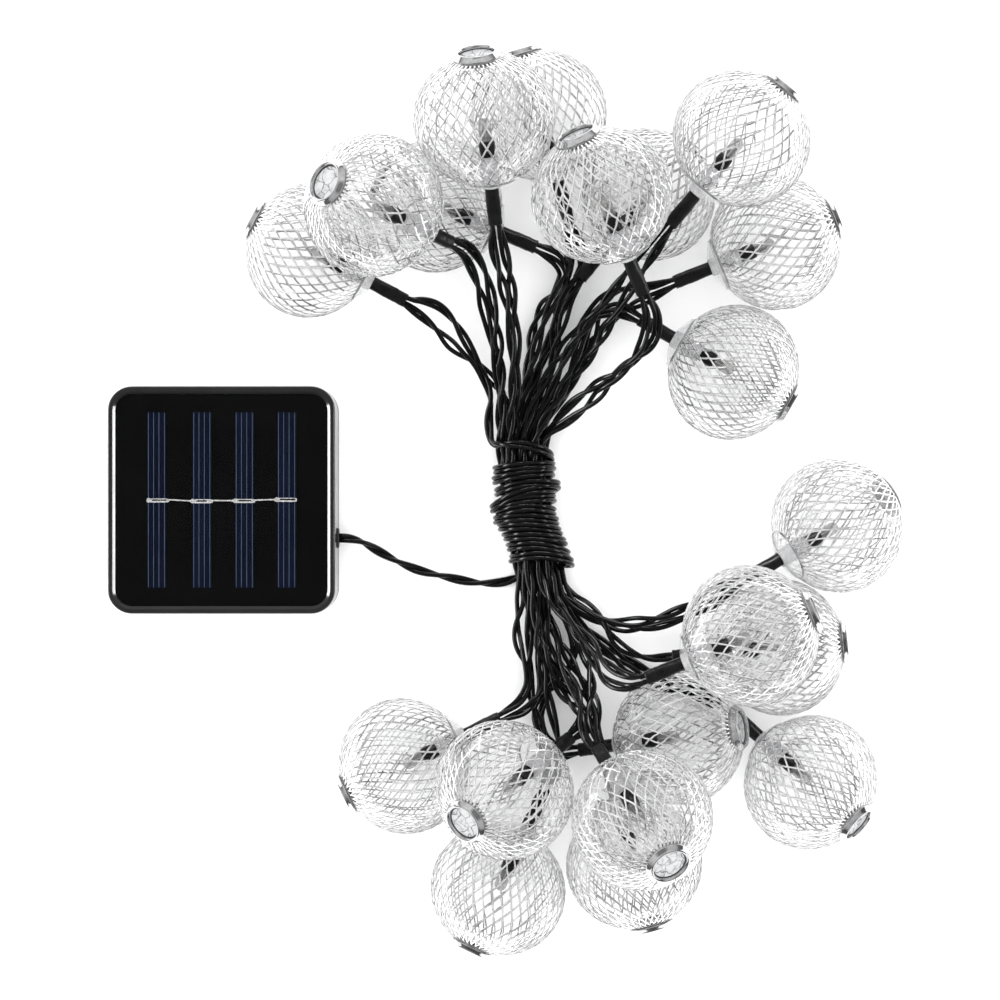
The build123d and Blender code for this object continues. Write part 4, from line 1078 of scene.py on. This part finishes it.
def eyelet(index):
    rng = np.random.default_rng(300 + index)
    a, b = rng.uniform(0, 6, 2)

    def dents(angle, k):
        return 0.02 * math.sin(2 * angle + a), 0.015 * math.sin(2 * angle + b)

    return revolved(EYELET, 96, True, dents)


lantern_set("eyelets", "eyelet_chrome", "end_eyelets", eyelet)


def window(index):
    """Crackled disc: two uneven faces with a bevelled edge."""
    rng = np.random.default_rng(400 + index)
    rings, segments = 14, 54
    seeds = rng.uniform(-4.8, 4.8, (22, 2))
    heights = rng.uniform(-0.02, 0.34, 22)
    lean = rng.normal(0, 0.05, (22, 2))

    def level(x, y):
        d = np.hypot(seeds[:, 0] - x, seeds[:, 1] - y)
        n = int(np.argmin(d))
        return float(heights[n] + lean[n, 0] * (x - seeds[n, 0]) + lean[n, 1] * (y - seeds[n, 1]))

    verts, faces = [], []
    for face, base in ((1, RING_CUT - 0.5), (0, RING_CUT + 0.4)):
        start = len(verts)
        verts.append((0.0, 0.0, base + (level(0, 0) if face else 0.0)))
        for i in range(1, rings + 1):
            r = 5.06 * i / rings
            for j in range(segments):
                q = 2 * math.pi * (j + 0.5 * (i % 2)) / segments
                x, y = r * math.cos(q), r * math.sin(q)
                h = level(x, y) if face and i < rings else 0.0
                verts.append((x, y, base + h * (1 - (i / rings) ** 8)))
        for j in range(segments):
            m = (j + 1) % segments
            tri = (start, start + 1 + m, start + 1 + j)
            faces.append(tri if face else tri[::-1])
            for i in range(rings - 1):
                a = start + 1 + i * segments
                b = a + segments
                quad = (a + j, a + m, b + m, b + j)
                faces.append(quad if face else quad[::-1])
    n = 1 + rings * segments
    edge0, edge1 = 1 + (rings - 1) * segments, n + 1 + (rings - 1) * segments
    for j in range(segments):
        m = (j + 1) % segments
        faces.append((edge0 + j, edge0 + m, edge1 + m, edge1 + j))
    return verts, faces


windows = lantern_set("windows", "crackled_clear", "end_windows", window)
windows.data.polygons.foreach_set("use_smooth", [False] * len(windows.data.polygons))

# Painted shade: a thin dark ring, in the dark rubber material, standing in for the shade in the gap between disc and
# collar.
gap_shade = Builder()
for index in range(len(LANTERNS)):
    ring = [(4.98 + 0.16 * math.cos(q), RING_CUT - 0.55 + 0.14 * math.sin(q)) for q in np.linspace(0, 2 * math.pi, 9)[:-1]]
    gap_shade_verts, gap_shade_faces = revolved(ring, 64, True)
    gap_shade.add([tuple(v) for v in placed(index, gap_shade_verts)], gap_shade_faces)
finish(gap_shade.object("disc_gap_painted_shade"), "seal_rubber")


def ringed_tube(index):
    """Neck tube with a row of raised rings along its inner half."""
    outer = [(2.55, 21.3), (2.7, 20.9), (2.7, 17.6)]
    for k in range(5):
        h = 17.2 - 1.15 * k
        outer += [(2.62, h), (2.95, h - 0.3), (2.95, h - 0.55), (2.62, h - 0.85)]
    outer += [(2.66, 11.9), (2.6, 11.5), (2.2, 11.5), (2.2, 21.3)]
    return revolved(outer, 40, True)


lantern_set("neck_tube_set", "clear_plastic", "neck_tubes", ringed_tube)


def lead_frame(index):
    """Two small dark plates inside the clear lamp."""
    verts, faces = [], []
    for x0, x1, z0, z1 in ((-1.25, -0.1, 2.7, 6.6), (0.22, 1.1, 3.6, 6.6)):
        base = len(verts)
        for x in (x0, x1):
            for y in (-0.55, 0.55):
                for z in (z0, z1):
                    verts.append((x * (0.8 if z == z0 else 1.0), y, z + (0.35 if x == x0 and z == z0 else 0.0)))
        for f in ((0, 1, 3, 2), (4, 6, 7, 5), (0, 4, 5, 1), (2, 3, 7, 6), (0, 2, 6, 4), (1, 5, 7, 3)):
            faces.append(tuple(base + i for i in f))
    return verts, faces


frames = Builder()
for index in range(len(LANTERNS)):
    frame_verts, frame_faces = lead_frame(index)
    frames.add([tuple(v) for v in placed(index, frame_verts)], frame_faces)
frame_piece = frames.object("lamp_frames", smooth=False)
frame_piece.data.materials.append(MAT["lead_frame"])
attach(frame_piece, ROOT)

# Frosted cup: fine ribs down the funnel.
CUP = rounded(
    [
        (7.6, NECK_CUT + 0.1),
        (8.1, NECK_CUT + 0.3),
        (8.05, NECK_CUT + 0.65),
        (7.2, NECK_CUT + 0.85),
        (6.2, NECK_CUT + 1.35),
        (5.0, NECK_CUT + 1.95),
        (4.0, NECK_CUT + 2.4),
        (3.4, NECK_CUT + 2.7),
        (2.72, NECK_CUT + 2.7),
        (2.72, NECK_CUT + 2.2),
        (4.0, NECK_CUT + 1.8),
        (6.0, NECK_CUT + 0.8),
        (6.8, NECK_CUT + 0.1),
    ],
    {1: 0.25, 2: 0.25, 7: 0.25, 11: 0.3},
    3,
)


def cup(index):
    def ribs(angle, k):
        r, h = CUP[k]
        on = smoothstep(h, NECK_CUT + 0.8, NECK_CUT + 1.3) * (1 if 3.9 < r < 7.0 else 0)
        return 0.035 * on * math.cos(24 * angle), 0.0

    return revolved(CUP, 144, True, ribs)


lantern_set("neck_cup_set", "frosted_plastic", "neck_cups", cup)

def neck_rim(index):
    """Bright wire ring round the net's cut edge."""
    ring = [(8.12 + 0.3 * math.cos(q), NECK_CUT - 0.05 + 0.26 * math.sin(q)) for q in np.linspace(0, 2 * math.pi, 9)[:-1]]
    return revolved(ring, 72, True)


rims = Builder()
for index in range(len(LANTERNS)):
    rim_verts, rim_faces = neck_rim(index)
    rims.add([tuple(v) for v in placed(index, rim_verts)], rim_faces)
finish(rims.object("neck_rims"), "eyelet_chrome")

# Shrink sleeve: round on the lamp, pinched flat over the four wires at its mouth.
SLEEVE = (
    (6.6, 2.18, 2.18),
    (7.2, 2.26, 2.26),
    (8.2, 2.38, 2.38),
    (9.3, 2.38, 2.38),
    (10.2, 2.24, 2.24),
    (11.0, 2.1, 2.1),
    (17.0, 2.06, 2.06),
    (23.5, 2.06, 2.06),
    (25.0, 2.12, 2.08),
    (26.5, 2.2, 2.04),
    (28.5, 2.22, 2.02),
    (31.0, 2.2, 2.04),
    (32.4, 2.16, 2.08),
    (33.0, 2.18, 2.1),
)


def pair_direction(index):
    """Direction, across the sleeve's mouth, from one cord to the other."""
    centre, x, y, z = lantern_axes(index)
    mouth = centre + z * 0.0345
    ends = []
    for points in list(SPANS.values()) + [TAIL]:
        for end in (points[0], points[-1]):
            gap = np.array(end) - mouth
            if np.linalg.norm(gap) < 0.006:
                ends.append(gap)
    if len(ends) < 2:
        return x
    d = ends[1] - ends[0]
    return unit(d - z * np.dot(d, z))


def sleeve(index):
    rng = np.random.default_rng(500 + index)
    centre, x, y, z = lantern_axes(index)
    across = pair_direction(index)
    turn = math.atan2(float(np.dot(across, y)), float(np.dot(across, x)))
    segments = 40
    heights = np.concatenate([np.linspace(SLEEVE[0][0], 23.5, 24), np.linspace(24.1, SLEEVE[-1][0], 24)])
    table = np.array(SLEEVE)
    wide = np.interp(heights, table[:, 0], table[:, 1])
    thin = np.interp(heights, table[:, 0], table[:, 2])
    waves = rng.uniform(0, 6, 5)
    verts, faces = [], []

    def ring(h, a, b, shrink, lobes):
        flat = smoothstep(h, 24.0, 29.5)
        for j in range(segments):
            q = 2 * math.pi * j / segments
            c, s = math.cos(q), math.sin(q)
            power = 2.0 + 0.9 * float(flat)
            r = 1.0 / (abs(c / a) ** power + abs(s / b) ** power) ** (1 / power)
            # the wires show through as soft ridges, and the skin creases between them
            r *= 1 - lobes * float(flat) * 0.035
            r += lobes * (0.04 * math.sin(h * 1.9 + 2 * q + waves[0]) + 0.025 * math.sin(h * 3.7 - 3 * q + waves[1])) * float(flat)
            r += 0.02 * lobes * math.sin(h * 0.9 + q + waves[2])
            r -= shrink
            verts.append((r * math.cos(q + turn), r * math.sin(q + turn), h))

    slant = rng.uniform(-0.12, 0.12)
    for h, a, b in zip(heights, wide, thin):
        ring(h, a, b, 0.0, 1.0)
    ring(SLEEVE[-1][0] + 0.03, wide[-1], thin[-1], 0.1, 1.0)
    ring(SLEEVE[-1][0] - 0.1, wide[-1], thin[-1], 0.2, 1.0)
    ring(SLEEVE[-1][0] - 0.7, wide[-1], thin[-1], 0.22, 1.0)
    rows = len(heights) + 3
    for i in range(rows - 1):
        for j in range(segments):
            m = (j + 1) % segments
            faces.append((i * segments + j, i * segments + m, (i + 1) * segments + m, (i + 1) * segments + j))
    faces.append(tuple((rows - 1) * segments + j for j in range(segments)))
    # lower mouth, gripping the lamp
    start = len(verts)
    for j in range(segments):
        q = 2 * math.pi * j / segments
        verts.append((1.94 * math.cos(q + turn), 1.94 * math.sin(q + turn), 6.65))
    for j in range(segments):
        q = 2 * math.pi * j / segments
        verts.append((1.94 * math.cos(q + turn), 1.94 * math.sin(q + turn), 7.7))
    for j in range(segments):
        m = (j + 1) % segments
        faces.append((start + j, start + m, m, j))
        faces.append((start + segments + j, start + segments + m, start + m, start + j))
    faces.append(tuple(start + segments + j for j in range(segments))[::-1])
    return verts, faces


lantern_set("sleeves", "sleeve_black", "shrink_sleeves", sleeve)

# ------------------------------------------------------------------ panel box
BOX_X, BOX_Y = -87.15, 0.52
HALF, CORNER = 35.0, 7.5


def frame_ring(inset, height, corner_steps=10, side_steps=6):
    """Points round a rounded square, inset from the case's outside."""
    half = HALF - inset
    radius = max(CORNER - inset, 0.35)
    pts = []
    for quarter, (sx, sy) in enumerate(((1, 1), (-1, 1), (-1, -1), (1, -1))):
        cx, cy = sx * (half - radius), sy * (half - radius)
        for i in range(corner_steps + 1):
            q = math.pi / 2 * (quarter + i / corner_steps)
            pts.append((cx + radius * math.cos(q), cy + radius * math.sin(q)))
        nx, ny = ((-1, 1), (-1, -1), (1, -1), (1, 1))[quarter]
        ex, ey = nx * (half - radius), ny * (half - radius)
        q = math.pi / 2 * (quarter + 1)
        end = (ex + radius * math.cos(q), ey + radius * math.sin(q))
        last = pts[-1]
        for i in range(1, side_steps):
            w = i / side_steps
            pts.append((last[0] + (end[0] - last[0]) * w, last[1] + (end[1] - last[1]) * w))
    return [((BOX_X + x) * MM, (BOX_Y + y) * MM, height * MM) for x, y in pts]


def framed(name, profile, slot, closed=True, lid=None):
    """A ring of the case's outline swept through a profile of (inset, height)."""
    build = Builder()
    rings = [frame_ring(i, h) for i, h in profile]
    count = len(rings[0])
    verts = [p for r in rings for p in r]
    faces = []
    last = len(rings) if closed else len(rings) - 1
    for i in range(last):
        n = (i + 1) % len(rings)
        for j in range(count):
            m = (j + 1) % count
            faces.append((i * count + j, i * count + m, n * count + m, n * count + j))
    if not closed:
        faces.append(tuple(range(count))[::-1])
        faces.append(tuple((len(rings) - 1) * count + j for j in range(count)))
    build.add(verts, faces)
    return build.object(name)


CASE = rounded(
    [
        (0.28, 3.6),
        (0.0, 3.95),
        (0.0, 16.0),
        (0.0, 20.0),
        (1.45, 20.0),
        (2.42, 19.26),
        (2.42, 17.2),
        (6.0, 17.2),
        (6.0, 15.7),
        (2.0, 15.7),
        (2.0, 3.6),
    ],
    {3: 1.2, 4: 0.16, 5: 0.08},
    7,
)
case = framed("case_front", CASE, "case_black")
finish(case, "case_black")
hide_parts("front_case")

resin = framed("resin_face", [(2.46, 18.95), (2.46, 19.1), (2.62, 19.17), (3.3, 19.17), (5.0, 19.17)], "clear_resin", closed=False)
finish(resin, "clear_resin")
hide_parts("panel_resin")
resin.data.materials.append(MAT["clear_resin_under"])
for poly in resin.data.polygons:
    if abs(poly.normal.z) > 0.5 and poly.center.z < 18.96 * MM:
        poly.material_index = 1

CELL_X = (-20.0, -6.05, 7.0, 20.0)
CELL_WIDTH, CELL_LENGTH, CELL_TOP = 5.8, 54.0, 18.82


def ribbon(builder, x, y, width, length, low, high, crown=0.0, segments=1):
    """Thin strip lying on the cells, its long edges rounded down."""
    xs = [-width / 2, -width / 2, -width * 0.36, width * 0.36, width / 2, width / 2]
    zs = [low, high - crown, high, high, high - crown, low]
    verts, faces = [], []
    for i in range(segments + 1):
        yy = y - length / 2 + length * i / segments
        for px, pz in zip(xs, zs):
            verts.append(((BOX_X + x + px) * MM, (BOX_Y + yy) * MM, pz * MM))
    for i in range(segments):
        for k in range(6):
            m = (k + 1) % 6
            faces.append((i * 6 + k, i * 6 + m, (i + 1) * 6 + m, (i + 1) * 6 + k))
    faces.append(tuple(range(6))[::-1])
    faces.append(tuple(segments * 6 + k for k in range(6)))
    builder.add(verts, faces)


# Fine printed lines down each strip.
lines = Builder()
for cx in CELL_X:
    for offset in (-2.5, -0.9, 0.75, 2.45):
        ribbon(lines, cx + offset, 0.0, 0.14, CELL_LENGTH - 0.3, CELL_TOP + 0.004, CELL_TOP + 0.03, 0.01, 12)
fingers = lines.object("cell_lines", smooth=False)
MAT["line_blue"] = plain("line_blue", (0.05, 0.08, 0.12), (0.08, 0.118, 0.17), rough=(0.4, 0.55), specular=0.1, scale=300, grain=2600)
fingers.data.materials.append(MAT["line_blue"])
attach(fingers, ROOT)

# Tinned tabs with a solder bead at one end, and the bare wires that join them.
TABS = ((-19.4, -0.15), (-5.95, -0.4), (7.1, -0.3), (19.9, 0.05))
TAB_LOW = 18.852


def bead(builder, x, y, r, height, squash=1.0):
    verts, faces = [], []
    rings, segments = 5, 18
    for i in range(rings):
        q = math.pi / 2 * i / rings
        for j in range(segments):
            w = 2 * math.pi * j / segments
            rr = r * math.cos(q) * (1 + 0.07 * math.sin(3 * w + x))
            verts.append(((BOX_X + x + rr * math.cos(w)) * MM, (BOX_Y + y + squash * rr * math.sin(w)) * MM, (TAB_LOW + height * math.sin(q)) * MM))
    verts.append(((BOX_X + x) * MM, (BOX_Y + y) * MM, (TAB_LOW + height) * MM))
    for i in range(rings - 1):
        for j in range(segments):
            m = (j + 1) % segments
            faces.append((i * segments + j, i * segments + m, (i + 1) * segments + m, (i + 1) * segments + j))
    top = (rings - 1) * segments
    for j in range(segments):
        faces.append((top + j, top + (j + 1) % segments, rings * segments))
    faces.append(tuple(range(segments))[::-1])
    builder.add(verts, faces)


tabs = Builder()
for tx, ty in TABS:
    # a shallow trough: raised rims round a lower middle
    long, wide = 6.6, 1.25
    outline = []
    for i in range(40):
        w = 2 * math.pi * i / 40
        c, s = math.cos(w), math.sin(w)
        outline.append((math.copysign(abs(c) ** 0.35, c), math.copysign(abs(s) ** 0.5, s)))
    rings = ((1.0, TAB_LOW), (1.0, TAB_LOW + 0.06), (0.95, TAB_LOW + 0.085), (0.86, TAB_LOW + 0.085), (0.8, TAB_LOW + 0.045), (0.4, TAB_LOW + 0.04))
    verts, faces = [], []
    for scale, h in rings:
        trim = (1 - scale) * wide / 2
        for px, py in outline:
            verts.append(((BOX_X + tx + px * (long / 2 - trim)) * MM, (BOX_Y + ty + py * (wide / 2 - trim)) * MM, h * MM))
    for i in range(len(rings) - 1):
        for j in range(40):
            m = (j + 1) % 40
            faces.append((i * 40 + j, i * 40 + m, (i + 1) * 40 + m, (i + 1) * 40 + j))
    faces.append(tuple(range(40))[::-1])
    faces.append(tuple((len(rings) - 1) * 40 + j for j in range(40)))
    tabs.add(verts, faces)
    bead(tabs, tx - 3.0, ty + 0.05, 0.72, 0.078)
marks = Builder()
for (tx, ty), (x0, x1, wide) in zip(TABS, ((-2.0, 2.4, 0.4), (-1.7, 1.4, 0.44), (-1.8, 2.0, 0.42), (-2.0, 2.7, 0.5))):
    ribbon_low = TAB_LOW + 0.05
    verts = []
    for px, py in ((x0, -wide / 2), (x1, -wide / 2), (x1 + 0.12, 0.0), (x1, wide / 2), (x0, wide / 2), (x0 - 0.12, 0.0)):
        verts.append(((BOX_X + tx + px) * MM, (BOX_Y + ty + py + 0.12) * MM, ribbon_low * MM))
    for px, py in ((x0, -wide / 2), (x1, -wide / 2), (x1 + 0.12, 0.0), (x1, wide / 2), (x0, wide / 2), (x0 - 0.12, 0.0)):
        verts.append(((BOX_X + tx + px * 0.98) * MM, (BOX_Y + ty + py * 0.9 + 0.12) * MM, (TAB_LOW + 0.09) * MM))
    marks.add(verts, [(5, 4, 3, 2, 1, 0), (6, 7, 8, 9, 10, 11)] + [(k, (k + 1) % 6, 6 + (k + 1) % 6, 6 + k) for k in range(6)])
finish(marks.object("tab_marks", smooth=False), "board_black")
tab_piece = tabs.object("tab_strips")
finish(tab_piece, "tinned_ribbon")
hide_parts("cell_tabs")

links = Builder()
for (x0, y0), (x1, y1) in zip(TABS, TABS[1:]):
    start = np.array([BOX_X + x0 + 2.9, BOX_Y + y0 + 0.25, TAB_LOW + 0.12 - 0.11]) * MM
    end = np.array([BOX_X + x1 - 3.2, BOX_Y + y1 + 0.1, TAB_LOW + 0.12 - 0.11]) * MM
    w = np.linspace(0, 1, 14)[:, None]
    line = start + (end - start) * w
    line[:, 2] = (TAB_LOW + 0.01) * MM
    t = unit(end - start)
    side = np.array([-t[1], t[0], 0.0])
    verts, faces = [], []
    for p in line:
        for k in range(8):
            q = 2 * math.pi * k / 8
            verts.append(tuple(p + side * 0.23 * MM * math.cos(q) + UP * (0.075 * MM * math.sin(q) + 0.06 * MM)))
    for i in range(len(line) - 1):
        for k in range(8):
            m = (k + 1) % 8
            faces.append((i * 8 + k, i * 8 + m, (i + 1) * 8 + m, (i + 1) * 8 + k))
    faces.append(tuple(range(8))[::-1])
    faces.append(tuple((len(line) - 1) * 8 + k for k in range(8)))
    links.add(verts, faces)
link_piece = links.object("link_wires")
finish(link_piece, "tinned_ribbon")
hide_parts("cell_links")

# ------------------------------------------------------------------ CAD pieces kept
NODE_SLOT = {
    "rear_cover": "cover_black",
    "gasket": "seal_rubber",
    "panel_board": "board_black",
    "solar_cells": "silicon_blue",
    "case_screws": "screw_steel",
    "power_button": "button_grey",
    "mode_button": "button_grey",
    "power_plunger": "switch_black",
    "mode_plunger": "switch_black",
    "power_switch": "switch_black",
    "mode_switch": "switch_black",
    "circuit_board": "pcb_green",
    "board_components": "chip_black",
    "battery": "battery_wrap",
    "battery_holder": "switch_black",
    "battery_contacts": "contact_steel",
    "lead_grommet": "seal_rubber",
    "lead_tails": "wire_black",
    "panel_wires": "wire_red",
    "battery_wires": "wire_red",
    "leds": "lamp_epoxy",
    "led_legs": "contact_steel",
}
for name, slot in NODE_SLOT.items():
    obj = frame["nodes"][name]
    obj.data.materials.clear()
    obj.data.materials.append(MAT[slot])

# ------------------------------------------------------------------ floor and light
bpy.ops.mesh.primitive_plane_add(size=8.0, location=(0, 0, 0))
floor = bpy.context.active_object
floor.name = "floor"
floor.data.materials.append(
    plain("floor_paper", (0.95, 0.95, 0.95), (0.965, 0.965, 0.965), rough=(0.85, 0.95), specular=0.1, scale=14, grain=900, relief=0.00002, strength=0.1)
)

world = bpy.data.worlds.new("studio")
bpy.context.scene.world = world
world.use_nodes = True
wt = world.node_tree
wt.nodes.clear()
w_out = wt.nodes.new("ShaderNodeOutputWorld")
w_co = wt.nodes.new("ShaderNodeTexCoord")
w_sep = wt.nodes.new("ShaderNodeSeparateXYZ")
w_ramp = wt.nodes.new("ShaderNodeValToRGB")
wt.links.new(w_co.outputs["Generated"], w_sep.inputs["Vector"])
wt.links.new(w_sep.outputs["Z"], w_ramp.inputs["Fac"])
# what shiny surfaces see, by height: dark low band, pale ring, dark overhead
w_bright = wt.nodes.new("ShaderNodeValToRGB")
wt.links.new(w_sep.outputs["Z"], w_bright.inputs["Fac"])
for node, stops in (
    (w_ramp, [(0.0, 0.15), (0.05, 0.09), (0.34, 0.10), (0.48, 0.52), (0.86, 0.74), (0.955, 0.26)]),
    (w_bright, [(0.0, 0.3), (0.05, 0.16), (0.14, 0.6), (0.34, 0.95), (0.86, 1.0), (0.955, 0.26)]),
):
    el = node.color_ramp.elements
    el[0].position, el[1].position = stops[0][0], stops[-1][0]
    el[0].color = (stops[0][1],) * 3 + (1.0,)
    el[1].color = (stops[-1][1],) * 3 + (1.0,)
    for position, value in stops[1:-1]:
        e = el.new(position)
        e.color = (value,) * 3 + (1.0,)
w_way = wt.nodes.new("ShaderNodeVectorMath")
w_way.operation = "DOT_PRODUCT"
w_way.inputs[1].default_value = (-0.55, 0.83, 0.0)
wt.links.new(w_co.outputs["Generated"], w_way.inputs[0])
w_share = wt.nodes.new("ShaderNodeMapRange")
w_share.inputs["From Min"].default_value = -0.35
w_share.inputs["From Max"].default_value = 0.45
wt.links.new(w_way.outputs["Value"], w_share.inputs["Value"])
w_both = wt.nodes.new("ShaderNodeMix")
w_both.data_type = "RGBA"
wt.links.new(w_share.outputs["Result"], w_both.inputs["Factor"])
wt.links.new(w_ramp.outputs["Color"], [i for i in w_both.inputs if i.name == "A" and i.type == "RGBA"][0])
wt.links.new(w_bright.outputs["Color"], [i for i in w_both.inputs if i.name == "B" and i.type == "RGBA"][0])
w_path = wt.nodes.new("ShaderNodeLightPath")
w_shiny = wt.nodes.new("ShaderNodeBackground")
w_even = wt.nodes.new("ShaderNodeBackground")
w_back = wt.nodes.new("ShaderNodeBackground")
w_shiny.inputs["Strength"].default_value = 1.0
w_even.inputs["Color"].default_value = (1.0, 1.0, 1.0, 1.0)
w_even.inputs["Strength"].default_value = 1.62
w_back.inputs["Color"].default_value = (1.0, 1.0, 1.0, 1.0)
wt.links.new([o for o in w_both.outputs if o.type == "RGBA"][0], w_shiny.inputs["Color"])
w_mix = wt.nodes.new("ShaderNodeMixShader")
w_mix2 = wt.nodes.new("ShaderNodeMixShader")
wt.links.new(w_path.outputs["Is Glossy Ray"], w_mix.inputs["Fac"])
wt.links.new(w_even.outputs["Background"], w_mix.inputs[1])
wt.links.new(w_shiny.outputs["Background"], w_mix.inputs[2])
wt.links.new(w_path.outputs["Is Camera Ray"], w_mix2.inputs["Fac"])
wt.links.new(w_mix.outputs["Shader"], w_mix2.inputs[1])
wt.links.new(w_back.outputs["Background"], w_mix2.inputs[2])
wt.links.new(w_mix2.outputs["Shader"], w_out.inputs["Surface"])


def strip(name, place, target, width, height, power):
    data = bpy.data.lights.new(name, "AREA")
    data.shape = "RECTANGLE"
    data.size, data.size_y = width, height
    data.energy = power
    obj = bpy.data.objects.new(name, data)
    obj.location = place
    d = unit(np.array(target, float) - np.array(place, float))
    obj.rotation_euler = Vector(d.tolist()).to_track_quat("-Z", "Y").to_euler()
    obj.visible_camera = False
    bpy.context.scene.collection.objects.link(obj)
    return obj


def receivers(name, slots):
    """Collection of the pieces that carry one of these materials."""
    found = bpy.data.collections.new(name)
    wanted = [MAT[slot] for slot in slots]
    for obj in bpy.context.scene.objects:
        if obj.type == "MESH" and any(slot.material in wanted for slot in obj.material_slots):
            found.objects.link(obj)
    return found


case_parts = receivers("case_parts", ("case_black",))
cord_parts = receivers("cord_parts", ("wire_black", "sleeve_black"))
overhead = strip("overhead", (0.0, 0.0, 1.7), (0, 0, 0), 1.6, 1.6, 22.0)
overhead.visible_glossy = False
for name, place, long, tall, power, parts in (
    ("rim_left", (-1.2, 0.02, 0.27), 0.6, 0.22, 14.0, case_parts),
    ("rim_right", (1.2, 0.02, 0.53), 0.6, 0.24, 15.0, case_parts),
    ("cord_left", (-1.2, 0.05, 0.40), 1.3, 0.26, 34.0, cord_parts),
    ("cord_right", (1.2, 0.05, 0.34), 1.3, 0.22, 15.0, cord_parts),
    ("cord_back", (0.1, 1.2, 0.62), 1.2, 0.3, 46.0, cord_parts),
):
    side_light = strip(name, place, (0, 0, 0), long, tall, power)
    side_light.visible_diffuse = False
    side_light.light_linking.receiver_collection = parts

bpy.context.scene.view_settings.view_transform = "Standard"
bpy.context.scene.view_settings.look = "None"
